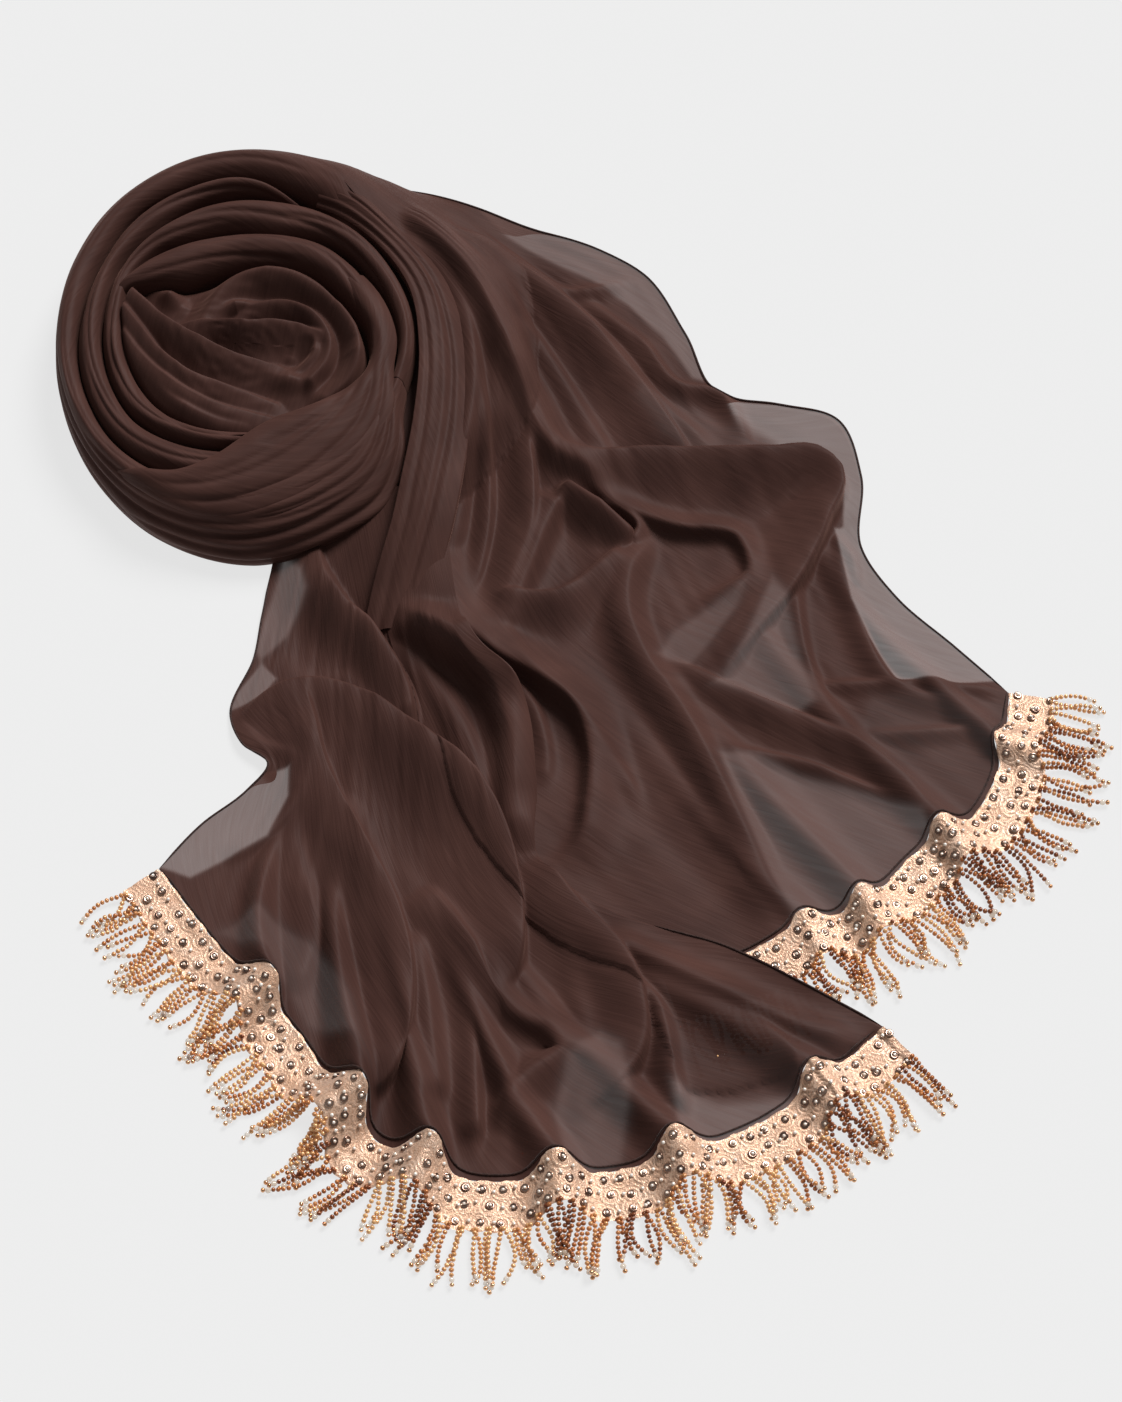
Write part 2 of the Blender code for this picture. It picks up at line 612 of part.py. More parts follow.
def add_wall(name, top, under, finish):
    """A closed wall between two grids of points that match."""
    shape = bmesh.new()
    rows, columns = top.shape[:2]
    upper = [[shape.verts.new(point * MM) for point in row] for row in top]
    lower = [[shape.verts.new(point * MM) for point in row] for row in under]
    begins = first_corners(top)
    for row in range(rows - 1):
        for column in range(columns - 1):
            for layer in (upper, lower):
                corners = (
                    layer[row][column],
                    layer[row][column + 1],
                    layer[row + 1][column + 1],
                    layer[row + 1][column],
                )
                first = begins[row][column]
                start, second, far, last = corners[first:] + corners[:first]
                for triangle in ((start, second, far), (start, far, last)):
                    shape.faces.new(triangle[::-1] if layer is lower else triangle)
    around = [(0, column) for column in range(columns)]
    around += [(row, columns - 1) for row in range(1, rows)]
    around += [(rows - 1, column) for column in range(columns - 2, -1, -1)]
    around += [(row, 0) for row in range(rows - 2, 0, -1)]
    for this, after in zip(around, around[1:] + around[:1]):
        shape.faces.new(
            (
                upper[after[0]][after[1]],
                upper[this[0]][this[1]],
                lower[this[0]][this[1]],
                lower[after[0]][after[1]],
            )
        )
    return add_object(name, shape, finish)


def add_mound(name, rings, middle_height, low, finish):
    """A rounded solid: rings of points closed over the middle, on a flat underside."""
    shape = bmesh.new()
    steps, count = rings.shape[:2]
    verts = [[shape.verts.new(point * MM) for point in ring] for ring in rings]
    middle = shape.verts.new((ROSETTE_CENTRE[0] * MM, ROSETTE_CENTRE[1] * MM, middle_height * MM))
    base = []
    for ring in rings:
        base.append(shape.verts.new((ring[0][0] * MM, ring[0][1] * MM, low * MM)))
    for step in range(steps):
        after = (step + 1) % steps
        shape.faces.new((base[step], base[after], verts[after][0], verts[step][0]))
        for ring in range(count - 1):
            shape.faces.new(
                (verts[step][ring], verts[after][ring], verts[after][ring + 1], verts[step][ring + 1])
            )
        shape.faces.new((verts[step][-1], verts[after][-1], middle))
    shape.faces.new(base[::-1])
    return add_object(name, shape, finish)


def trim_wall(panel, hem_points):
    """The trim band: it starts a seam's gap outside the hem and follows its ridges down."""
    _, _, outward = ridged_hem(panel, panel.across)
    across = (SEAM_GAP, 0.5 * TRIM_WIDTH, TRIM_WIDTH)
    under = np.zeros((len(across), panel.across, 3))
    for row, reach in enumerate(across):
        under[row, :, :2] = hem_points[:, :2] + outward * reach
        fall = 1.0 - (1.0 - TRIM_FALL) * reach / TRIM_WIDTH
        under[row, :, 2] = hem_points[:, 2] * fall
    under[..., 2] = np.maximum(under[..., 2], 0.0)
    top = under.copy()
    top[..., 2] += WALL * slope_factor(under)
    return top, under


def fringe_roots(panel, trim_under, spacing):
    """Points along the trim's lower edge, two for each strand, and the outward directions there."""
    edge = trim_under[-1]
    _, _, outward = ridged_hem(panel, panel.across)
    run = np.concatenate([[0.0], np.cumsum(np.linalg.norm(np.diff(edge, axis=0), axis=1))])
    strands = int(run[-1] / spacing)
    places = np.linspace(0.0, run[-1], 2 * strands + 1)
    roots = np.stack([np.interp(places, run, column) for column in edge.T], axis=1)
    ways = np.stack([np.interp(places, run, column) for column in outward.T], axis=1)
    return roots, ways / np.linalg.norm(ways, axis=1)[:, None]


def fringe_cover(panel, edge):
    """A row of points past the strands' ends: with the trim's edge it covers the whole fringe."""
    _, _, outward = ridged_hem(panel, panel.across)
    ends = edge.copy()
    ends[0, :, :2] += outward * 1.2 * STRAND_LENGTH
    ends[0, :, 2] = STRIP_THICK + FLOOR_GAP
    return ends


def fringe_strip(shape, inner, outer):
    """A narrow strip of four sides along two rows of points, and every second face of its outer side."""
    thick = np.array([0.0, 0.0, STRIP_THICK])
    rings = []
    for near, far in zip(inner, outer):
        rings.append([shape.verts.new(point * MM) for point in (near, far, far + thick, near + thick)])
    for end in rings[0], rings[-1]:
        shape.faces.new(end)
    roots = []
    for place, (this, after) in enumerate(zip(rings, rings[1:])):
        for corner in range(4):
            other = (corner + 1) % 4
            face = shape.faces.new((this[corner], after[corner], after[other], this[other]))
            if corner == 1 and place % 2 == 0:
                roots.append((place, face))
    bmesh.ops.recalc_face_normals(shape, faces=shape.faces)
    return roots


def draw_strand(shape, face, start, way, length):
    """Draws a face of the strip out into a strand that tapers and ends just above the table."""
    drawn = bmesh.ops.extrude_discrete_faces(shape, faces=[face])["faces"][0]
    along = np.array([-way[1], way[0], 0.0])
    tip = start + way * length
    for vert in drawn.verts:
        here = np.array(vert.co) / MM
        side = STRAND_TIP if np.dot(here - start, along) > 0 else -STRAND_TIP
        upper = here[2] > start[2] + 0.5 * STRIP_THICK
        tip[2] = FLOOR_GAP + (2.0 * STRAND_TIP if upper else 0.0)
        vert.co = (tip + along * side) * MM


def add_fringe(name, panel, trim_under, seed):
    """A narrow strip along the trim, with the strands of the fringe drawn out of its outer side."""
    roots, ways = fringe_roots(panel, trim_under, STRAND_SPACING)
    ways = np.hstack([ways, np.zeros((len(ways), 1))])
    inner = np.maximum(roots, [-np.inf, -np.inf, FLOOR_GAP]) + ways * STRIP_GAP
    outer = inner + ways * STRIP_WIDTH
    shape = bmesh.new()
    noise = np.random.default_rng(seed)
    for place, face in fringe_strip(shape, inner, outer):
        way = ways[place] + ways[place + 1]
        way /= np.linalg.norm(way)
        way = way + noise.uniform(-STRAND_SWAY, STRAND_SWAY) * np.array([-way[1], way[0], 0.0])
        start = 0.5 * (outer[place] + outer[place + 1])
        draw_strand(shape, face, start, way, STRAND_LENGTH * noise.uniform(*STRAND_RANGE))
    return add_object(name, shape, "fringe")


# ---- the whole piece ----


def clear_scene():
    """Removes all that the scene starts with."""
    for thing in list(bpy.data.objects):
        bpy.data.objects.remove(thing)


def build_rosette(table):
    """The hidden core, the turns round it and the heart in their middle."""
    core = mound(CORE_RIM, 40, CORE_REACHES, 0.0, CORE_TOP)
    add_mound("coil_core", core, CORE_TOP, 0.0, "cloth")
    table.lay(refined(np.concatenate([core, core[:1]]), 8))
    heart = mound(HEART_RIM, 36, HEART_REACHES, TURN_LEG, HEART_FLOOR - TURN_LEG)
    heart[..., 2] += fold_height(heart[..., :2], HEART_FOLDS)
    add_mound("heart", heart, HEART_FLOOR, TURN_LEG, "cloth")
    add_wall("inner_turn", *turn_wall(INNER_TURN, 17, 7), "cloth")
    add_wall("third_turn", *turn_wall(THIRD_TURN, 37, 7), "cloth")
    add_wall("second_turn", *turn_wall(SECOND_TURN, 31, 7), "cloth")
    add_wall("outer_turn", *turn_wall(OUTER_TURN, 39, 12, grooved=True), "cloth")


def build_end(name, panel, table, seed):
    """One end of the hijab: its cloth, its trim and its fringe."""
    top, under = tail_wall(panel, table)
    add_wall(f"{name}_tail", top, under, "cloth")
    trim_top, trim_under = trim_wall(panel, under[-1])
    add_wall(f"{name}_trim", trim_top, trim_under, "trim")
    add_fringe(f"{name}_fringe", panel, trim_under, seed)
    table.lay(refined(top, 6))
    table.lay(refined(np.concatenate([trim_top, fringe_cover(panel, trim_top[-1:])]), 8))


def main():
    """Builds the hijab from its hidden core outwards, each stretch over those that it lies on."""
    clear_scene()
    table = Table()
    build_rosette(table)
    add_wall("shoulder_band", *band_wall(SHOULDER_BAND), "cloth")
    build_end("rear", REAR_TAIL, table, 11)
    build_end("front", FRONT_TAIL, table, 23)


main()
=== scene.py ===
"""Looks of a long sheer chiffon hijab, wound into a rosette, with beaded trims at both ends.

Sizes are in millimetres until a mesh is made. +Z is up and the table is z = 0.
"""

import logging
import math
from dataclasses import dataclass, field
from enum import Enum

import bpy
import numpy as np
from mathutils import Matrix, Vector


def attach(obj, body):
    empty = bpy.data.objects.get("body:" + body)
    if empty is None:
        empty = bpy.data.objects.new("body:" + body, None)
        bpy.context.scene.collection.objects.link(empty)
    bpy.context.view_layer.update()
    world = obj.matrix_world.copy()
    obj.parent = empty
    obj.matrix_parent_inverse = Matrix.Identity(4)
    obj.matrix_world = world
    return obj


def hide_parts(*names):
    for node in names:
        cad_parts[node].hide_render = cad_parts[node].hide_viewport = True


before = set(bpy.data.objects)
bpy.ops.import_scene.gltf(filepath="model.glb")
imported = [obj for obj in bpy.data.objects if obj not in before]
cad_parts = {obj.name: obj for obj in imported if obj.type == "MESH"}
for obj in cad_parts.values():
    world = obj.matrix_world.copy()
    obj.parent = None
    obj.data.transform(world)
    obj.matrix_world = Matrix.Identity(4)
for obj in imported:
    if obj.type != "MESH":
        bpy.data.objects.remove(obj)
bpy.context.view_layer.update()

logging.basicConfig(level=logging.INFO, format="%(message)s")
LOG = logging.getLogger("hijab")

MM = 0.001
Array = np.ndarray
Points = tuple[tuple[float, ...], ...]

# The middle of the rosette on the table, and the top of the hidden core that its turns stand on
ROSETTE_CENTRE = (-230.0, 252.0)
CORE_TOP = 30.45
# How many places are read on a curve for each of its points
READS_PER_POINT = 12
# The smallest length that is divided by
TINY = 1e-6


class Slot(Enum):
    """The material slots of the record."""

    CHIFFON = "chiffon"
    TRIM = "sequin_trim"
    FRINGE = "bead_fringe"


# ---- curves and soft numbers ----


def smooth_step(value: Array) -> Array:
    """0 below 0 and 1 above 1, with a soft rise between."""
    value = np.clip(value, 0.0, 1.0)
    return value * value * (3.0 - 2.0 * value)


def read_between(knots: Array, rows: Array, places: Array) -> Array:
    """Rows of numbers read between knots, on a smooth curve through every row.

    Args:
        knots: where each row lies, rising.
        rows: one row of numbers for each knot.
        places: where to read.

    Returns:
        One row of numbers for each place.
    """
    knots = np.asarray(knots, float)
    rows = np.asarray(rows, float).reshape(len(knots), -1)
    slopes = np.gradient(rows, knots, axis=0)
    start = np.clip(np.searchsorted(knots, places, side="right") - 1, 0, len(knots) - 2)
    width = (knots[start + 1] - knots[start])[:, None]
    part = ((places - knots[start]) / width[:, 0])[:, None]
    bend = part * part * (3.0 - 2.0 * part)
    leave = part * (1.0 - part) ** 2 * width * slopes[start]
    arrive = part * part * (part - 1.0) * width * slopes[start + 1]
    return (1.0 - bend) * rows[start] + bend * rows[start + 1] + leave + arrive


def curve_through(points: Points | Array, count: int) -> Array:
    """Evenly spaced points along a smooth curve through the given ones."""
    points = np.asarray(points, float)
    knots = np.concatenate([[0.0], np.cumsum(np.linalg.norm(np.diff(points, axis=0), axis=1))])
    fine = read_between(knots, points, np.linspace(0.0, knots[-1], READS_PER_POINT * len(points)))
    run = lengths_along(fine)
    even = np.linspace(0.0, run[-1], count)
    return np.stack([np.interp(even, run, column) for column in fine.T], axis=1)


def lengths_along(line: Array) -> Array:
    """How far along a line each of its points is."""
    return np.concatenate([[0.0], np.cumsum(np.linalg.norm(np.diff(line, axis=0), axis=1))])


def finer(grid: Array, rows: int, columns: int) -> Array:
    """A grid of points read again at more rows and columns, on a smooth surface through them."""
    high, wide = grid.shape[:2]
    flat = read_between(np.arange(high), grid.reshape(high, -1), np.linspace(0, high - 1, rows))
    turned = flat.reshape(rows, wide, -1).transpose(1, 0, 2).reshape(wide, -1)
    flat = read_between(np.arange(wide), turned, np.linspace(0, wide - 1, columns))
    return flat.reshape(columns, rows, -1).transpose(1, 0, 2)


def soft_noise(rows: int, columns: int, down: int, across: int, seed: int) -> Array:
    """A smooth random field between about -1 and 1.

    Args:
        rows: rows of the grid that it is read on.
        columns: columns of that grid.
        down: random cells from the first row to the last.
        across: random cells from the first column to the last.
        seed: the draw.

    Returns:
        One number for each point of the grid.
    """
    cells = np.random.default_rng(seed).uniform(-1.0, 1.0, (down + 2, across + 2, 1))
    return finer(cells, rows, columns)[..., 0]


def around(*places: tuple[float, float]) -> Points:
    """Points on the table from angles in degrees and radii round the rosette's middle."""
    return tuple(
        (
            ROSETTE_CENTRE[0] + radius * math.cos(math.radians(angle)),
            ROSETTE_CENTRE[1] + radius * math.sin(math.radians(angle)),
        )
        for angle, radius in places
    )


def normals_of(surface: Array) -> Array:
    """The unit normals of a grid of points, on the side that faces up for cloth that lies flat."""
    normal = np.cross(np.gradient(surface, axis=0), np.gradient(surface, axis=1))
    normal /= np.maximum(np.linalg.norm(normal, axis=2, keepdims=True), 1e-9)
    return normal


# ---- folds ----


@dataclass(frozen=True)
class Fold:
    """A soft ridge in cloth that lies on a table.

    Its crest has a height at the start, middle and end of its path. It spreads to the left and to the
    right of the path, and leans to the left by a share of its height, or to the right below 0.
    """

    name: str
    crest: tuple[float, float, float]
    spread: tuple[float, float]
    lean: float
    path: Points


@dataclass(frozen=True)
class Foot:
    """The nearest place on a line for each of many points."""

    gap: Array
    along: Array
    left: Array
    side: Array


def nearest_on(line: Array, points: Array) -> Foot:
    """The nearest place on a line for each point.

    Args:
        line: points of the line, evenly spaced.
        points: one row for each point.

    Returns:
        The gap, the part of the line's length, the direction to its left and, from -1 to 1, the side.
    """
    near = ((points[:, None] - line[None]) ** 2).sum(axis=2).argmin(axis=1)
    gap = np.full(len(points), np.inf)
    along = np.zeros(len(points))
    away = np.zeros_like(points)
    for first in (np.maximum(near - 1, 0), np.minimum(near, len(line) - 2)):
        leg = line[first + 1] - line[first]
        part = ((points - line[first]) * leg).sum(axis=1) / (leg**2).sum(axis=1)
        part = np.clip(part, 0.0, 1.0)
        offset = points - line[first] - part[:, None] * leg
        distance = np.linalg.norm(offset, axis=1)
        closer = distance < gap
        gap = np.where(closer, distance, gap)
        along = np.where(closer, (first + part) / (len(line) - 1), along)
        away = np.where(closer[:, None], offset, away)
    ahead = np.gradient(line, axis=0)
    ahead /= np.linalg.norm(ahead, axis=1)[:, None]
    knots = np.linspace(0, 1, len(line))
    ahead = np.stack([np.interp(along, knots, column) for column in ahead.T], axis=1)
    left = np.stack([-ahead[:, 1], ahead[:, 0]], axis=1)
    left /= np.linalg.norm(left, axis=1)[:, None]
    side = (left * away).sum(axis=1) / np.maximum(gap, TINY)
    return Foot(gap, along, left, side)


@dataclass
class FoldField:
    """All the folds of one stretch of cloth.

    Where folds meet they blend, more sharply at a higher blend power. Each one tapers over a part of its
    length at both ends, down to a blunt end, or not at all where that is 1.
    """

    folds: tuple[Fold, ...]
    crest_power: float = 2.0
    blend_power: float = 3.0
    blunt: float = 0.3
    taper: float = 0.16
    line_points: int = 56
    spreads_within: float = 2.6

    def raised(self, plan: Array) -> tuple[Array, Array]:
        """How high the folds raise each point of a plan, and how far they draw it aside.

        Args:
            plan: a grid of places on the table.

        Returns:
            The heights, and the moves along the table.
        """
        flat = plan.reshape(-1, 2)
        total = np.zeros(len(flat))
        drawn = np.zeros_like(flat)
        for fold in self.folds:
            line = curve_through(fold.path, self.line_points)
            reach = self.spreads_within * max(fold.spread)
            inside = ((flat > line.min(axis=0) - reach) & (flat < line.max(axis=0) + reach)).all(axis=1)
            if not inside.any():
                continue
            foot = nearest_on(line, flat[inside])
            middle, half = sum(fold.spread) / 2, (fold.spread[0] - fold.spread[1]) / 2
            width = middle + half * foot.side
            crest = np.interp(foot.along, (0.0, 0.5, 1.0), fold.crest)
            crest = crest * smooth_step(self.blunt + foot.along / self.taper)
            crest = crest * smooth_step(self.blunt + (1.0 - foot.along) / self.taper)
            rise = crest * np.exp(-((foot.gap / width) ** self.crest_power))
            share = rise**self.blend_power
            total[inside] += share
            drawn[inside] += (share * fold.lean)[:, None] * foot.left
        rise = total ** (1.0 / self.blend_power)
        shift = drawn / np.maximum(total, 1e-9)[:, None] * rise[:, None]
        return rise.reshape(plan.shape[:2]), shift.reshape(plan.shape)


# ---- what lies below ----


@dataclass
class Table:
    """The height of all that already lies on the table, on a square net of cells."""

    cell: float = 3.0
    half: float = 480.0
    height: Array = field(init=False)

    def __post_init__(self) -> None:
        """Starts with a bare table."""
        self.size = int(2 * self.half / self.cell)
        self.height = np.zeros((self.size, self.size))

    def lay(self, surface: Array) -> None:
        """Adds a surface, given as a grid of points close enough to leave no cell between them."""
        place = ((surface[..., :2] + self.half) / self.cell).astype(int).reshape(-1, 2)
        place = np.clip(place, 0, self.size - 1)
        np.maximum.at(self.height, (place[:, 0], place[:, 1]), surface[..., 2].ravel())

    def under(self, points: Array, reach: int = 4) -> Array:
        """The height to clear below each point, softened over a reach of so many cells."""
        high = self.height
        for _ in range(reach):
            padded = np.pad(high, 1, mode="edge")
            rows = np.maximum(np.maximum(padded[:-2], padded[2:]), padded[1:-1])
            high = np.maximum(np.maximum(rows[:, :-2], rows[:, 2:]), rows[:, 1:-1])
        for _ in range(reach):
            padded = np.pad(high, 1, mode="edge")
            rows = (padded[:-2] + padded[2:] + 2.0 * padded[1:-1]) / 4.0
            high = (rows[:, :-2] + rows[:, 2:] + 2.0 * rows[:, 1:-1]) / 4.0
        place = np.clip((points[..., :2] + self.half) / self.cell - 0.5, 0, self.size - 2)
        x, y = place.astype(int)[..., 0], place.astype(int)[..., 1]
        part = place - place.astype(int)
        low = high[x, y] * (1 - part[..., 0]) + high[x + 1, y] * part[..., 0]
        far = high[x, y + 1] * (1 - part[..., 0]) + high[x + 1, y + 1] * part[..., 0]
        return low * (1 - part[..., 1]) + far * part[..., 1]


# ---- meshes ----


@dataclass
class Sheet:
    """A grid of points with its layer count and its own measures, ready to be a mesh."""

    points: Array
    layers: Array
    values: dict[str, Array] = field(default_factory=dict)
    from_above: bool = False

    def measures(self) -> Array:
        """How far across and down the cloth each point is, in metres."""
        if self.from_above:
            return self.points[..., :2] * MM
        across = np.linalg.norm(np.diff(self.points, axis=1), axis=2).mean(axis=0)
        down = np.linalg.norm(np.diff(self.points, axis=0), axis=2).mean(axis=1)
        run_across = np.concatenate([[0.0], np.cumsum(across)]) * MM
        run_down = np.concatenate([[0.0], np.cumsum(down)]) * MM
        return np.dstack(np.meshgrid(run_across, run_down))


@dataclass(frozen=True)
class TurnedEdge:
    """How a cloth's side edges are turned down and in, wherever they stand above what lies below.

    Each edge gets new columns, tucked in by a set width. It starts where the edge stands a little above
    what is below, and grows with that height. Near the cloth's top row there is none.
    """

    columns: int = 6
    tuck: float = 7.0
    least_tuck: float = 0.4
    clearance: float = 0.8
    starts_above: float = 1.5
    grows_over: float = 4.0
    top_part: float = 0.06

    def turn(self, sheet: Sheet, table: Table, lowest: float = 0.0) -> Sheet:
        """The same cloth with its turned edges.

        Args:
            sheet: the cloth, whose first and last columns are its side edges.
            table: what lies below it.
            lowest: the lowest height that an edge is turned down to.

        Returns:
            The cloth with more columns on both sides.
        """
        points, layers = sheet.points, sheet.layers
        angle = np.linspace(0.0, math.pi / 2, self.columns + 1)[1:]
        from_top = (np.linspace(0.0, 1.0, len(points)) - self.top_part) / self.top_part
        for _ in range(2):
            edge = points[:, -1]
            inward = (points[:, -6] - edge)[:, :2]
            inward /= np.maximum(np.linalg.norm(inward, axis=1), TINY)[:, None]
            low = np.maximum(table.under(edge, 1) + self.clearance, lowest)
            free = np.maximum(edge[:, 2] - low, 0.0)
            share = smooth_step((free - self.starts_above) / self.grows_over) * smooth_step(from_top)
            width = (self.least_tuck + self.tuck * share)[:, None] * (1.0 - np.cos(angle))
            added = np.repeat(edge[:, None], self.columns, axis=1)
            added[..., :2] += inward[:, None] * width[..., None]
            added[..., 2] -= (share * free)[:, None] * np.sin(angle)
            points = np.concatenate([points, added], axis=1)[:, ::-1]
            kept = np.repeat(layers[:, -1:], self.columns, axis=1)
            layers = np.concatenate([layers, kept], axis=1)[:, ::-1]
        return Sheet(points, layers)


def link_mesh(
    name: str, points: Array, faces: Array | list, finish: bpy.types.Material
) -> bpy.types.Object:
    """An object of the given points, in millimetres, and faces."""
    mesh = bpy.data.meshes.new(name)
    listed = faces if isinstance(faces, list) else faces.tolist()
    mesh.from_pydata((np.asarray(points) * MM).tolist(), [], listed)
    mesh.materials.append(finish)
    mesh.shade_smooth()
    made = bpy.data.objects.new(name, mesh)
    bpy.context.scene.collection.objects.link(made)
    return made


def grid_faces(rows: int, columns: int, closed: bool = False) -> Array:
    """The four-sided faces of a grid, which face up where rows run away and columns run right."""
    index = np.arange(rows * columns).reshape(rows, columns)
    if closed:
        index = np.concatenate([index, index[:1]])
    corners = (index[:-1, :-1], index[1:, :-1], index[1:, 1:], index[:-1, 1:])
    return np.stack(corners, axis=-1).reshape(-1, 4)


def set_at_points(mesh: bpy.types.Mesh, name: str, values: Array) -> None:
    """Keeps one number for each point of a mesh under a name."""
    attribute = mesh.attributes.new(name, "FLOAT", "POINT")
    attribute.data.foreach_set("value", np.asarray(values, np.float32))


def add_sheet(
    name: str, sheet: Sheet, finish: bpy.types.Material, closed: bool = False
) -> bpy.types.Object:
    """An object made from a sheet, with its measures as a UV map and its layers as an attribute."""
    rows, columns = sheet.points.shape[:2]
    faces = grid_faces(rows, columns, closed)
    flat = sheet.points.reshape(-1, 3)
    corner = flat[faces]
    facing = np.cross(corner[:, 1] - corner[:, 0], corner[:, 3] - corner[:, 0])[:, 2].sum()
    if facing < 0:
        faces = faces[:, ::-1]
    made = link_mesh(name, flat, faces, finish)
    mesh = made.data
    for key, value in dict(sheet.values, layers=sheet.layers).items():
        set_at_points(mesh, key, np.broadcast_to(value, (rows, columns)).ravel())
    measures = sheet.measures().reshape(-1, 2)
    corners = np.zeros(len(mesh.loops), np.int32)
    mesh.loops.foreach_get("vertex_index", corners)
    layer = mesh.uv_layers.new(name="cloth")
    layer.data.foreach_set("uv", measures[corners].ravel().astype(np.float32))
    return made


def tube(
    line: Array, radius: float, sides: int = 6, taper_points: float = 6.0
) -> tuple[Array, Array]:
    """The points and faces of a thin tube along a line, closed at both ends by its taper.

    Args:
        line: points of its middle.
        radius: its radius, which tapers at the ends.
        sides: its number of sides.
        taper_points: over how many points it tapers.

    Returns:
        Points, and faces of four corners.
    """
    ahead = np.gradient(line, axis=0)
    ahead /= np.linalg.norm(ahead, axis=1)[:, None]
    side = np.cross(ahead, [0.0, 0.0, 1.0])
    side /= np.maximum(np.linalg.norm(side, axis=1), TINY)[:, None]
    up = np.cross(side, ahead)
    turn = np.linspace(0, 2 * math.pi, sides, endpoint=False)
    place = np.arange(len(line))
    taper = np.clip(np.minimum(place, place[::-1]) / taper_points, 0.05, 1.0)
    ring = side[:, None] * np.cos(turn)[None, :, None]
    ring = ring + up[:, None] * np.sin(turn)[None, :, None]
    points = line[:, None] + radius * taper[:, None, None] * ring
    index = np.arange(len(line) * sides).reshape(len(line), sides)
    after = np.roll(index, -1, axis=1)
    faces = np.stack([index[:-1], after[:-1], after[1:], index[1:]], axis=-1).reshape(-1, 4)
    return points.reshape(-1, 3), faces[:, ::-1]


def joined(parts: list[tuple[Array, Array]]) -> tuple[Array, Array]:
    """Several lots of points and faces as one."""
    points, faces, start = [], [], 0
    for some, theirs in parts:
        points.append(some)
        faces.append(theirs + start)
        start += len(some)
    return np.concatenate(points), np.concatenate(faces)


@dataclass
class Template:
    """A small shape that is modelled once and copied many times."""

    points: Array
    faces: list[tuple[int, ...]]

    def copies(self, places: Array, frames: Array, scales: Array) -> tuple[Array, list[tuple[int, ...]]]:
        """All the copies as one lot of points and faces.

        Args:
            places: the middle of each copy.
            frames: for each copy, its three axes as rows.
            scales: for each copy, its size along each axis.

        Returns:
            Points and faces.
        """
        shaped = self.points[None] * scales[:, None, :]
        points = places[:, None] + np.einsum("npk,nkj->npj", shaped, frames)
        count = len(self.points)
        faces = [
            tuple(corner + copy * count for corner in face)
            for copy in range(len(places))
            for face in self.faces
        ]
        return points.reshape(-1, 3), faces


def frames_along(ahead: Array, up: Array) -> Array:
    """For each direction, three axes: across, the direction itself squared to up, and up."""
    across = np.cross(ahead, up)
    across /= np.maximum(np.linalg.norm(across, axis=1), 1e-9)[:, None]
    square = np.cross(across, ahead)
    square /= np.maximum(np.linalg.norm(square, axis=1), 1e-9)[:, None]
    return np.stack([across, ahead, square], axis=1)


BEAD_FLATTENING = 0.92
SEQUIN_DEPTH = 0.24
# From the rim inwards: how wide each inset of a sequin is, and how far its inner part is then moved up
SEQUIN_STEPS = ((0.16, 0.1), (0.3, 0.0), (0.18, -0.2))


def model_bead(segments: int = 8, rings: int = 5) -> Template:
    """A seed bead of radius 1, a little flattened along its hole, modelled from a sphere."""
    bpy.ops.object.select_all(action="DESELECT")
    bpy.ops.mesh.primitive_uv_sphere_add(segments=segments, ring_count=rings, radius=1.0)
    bead = bpy.context.object
    bpy.ops.object.mode_set(mode="EDIT")
    bpy.ops.mesh.select_all(action="SELECT")
    bpy.ops.transform.resize(value=(1.0, 1.0, BEAD_FLATTENING))
    bpy.ops.object.mode_set(mode="OBJECT")
    return take_template(bead)


def model_sequin() -> Template:
    """A cupped ring sequin of radius 1, modelled from a cylinder by insets and moves."""
    bpy.ops.object.select_all(action="DESELECT")
    bpy.ops.mesh.primitive_cylinder_add(
        vertices=12, radius=1.0, depth=SEQUIN_DEPTH, location=(0, 0, SEQUIN_DEPTH / 2)
    )
    sequin = bpy.context.object
    bpy.ops.object.mode_set(mode="EDIT")
    bpy.ops.mesh.select_mode(type="FACE")
    for thickness, drop in SEQUIN_STEPS:
        bpy.ops.mesh.select_all(action="DESELECT")
        bpy.ops.object.mode_set(mode="OBJECT")
        top = max(sequin.data.polygons, key=lambda face: (len(face.vertices), face.normal.z))
        top.select = True
        bpy.ops.object.mode_set(mode="EDIT")
        bpy.ops.mesh.inset(thickness=thickness)
        bpy.ops.transform.translate(value=(0, 0, drop))
    bpy.ops.object.mode_set(mode="OBJECT")
    return take_template(sequin)


def take_template(made: bpy.types.Object) -> Template:
    """The shape of an object, which is then removed."""
    points = np.array([vert.co[:] for vert in made.data.vertices])
    faces = [tuple(face.vertices) for face in made.data.polygons]
    mesh = made.data
    bpy.data.objects.remove(made)
    bpy.data.meshes.remove(mesh)
    return Template(points, faces)


# ---- materials ----


def link(tree: bpy.types.NodeTree, source: bpy.types.NodeSocket, target: bpy.types.NodeSocket) -> None:
    """Joins two sockets."""
    tree.links.new(source, target)


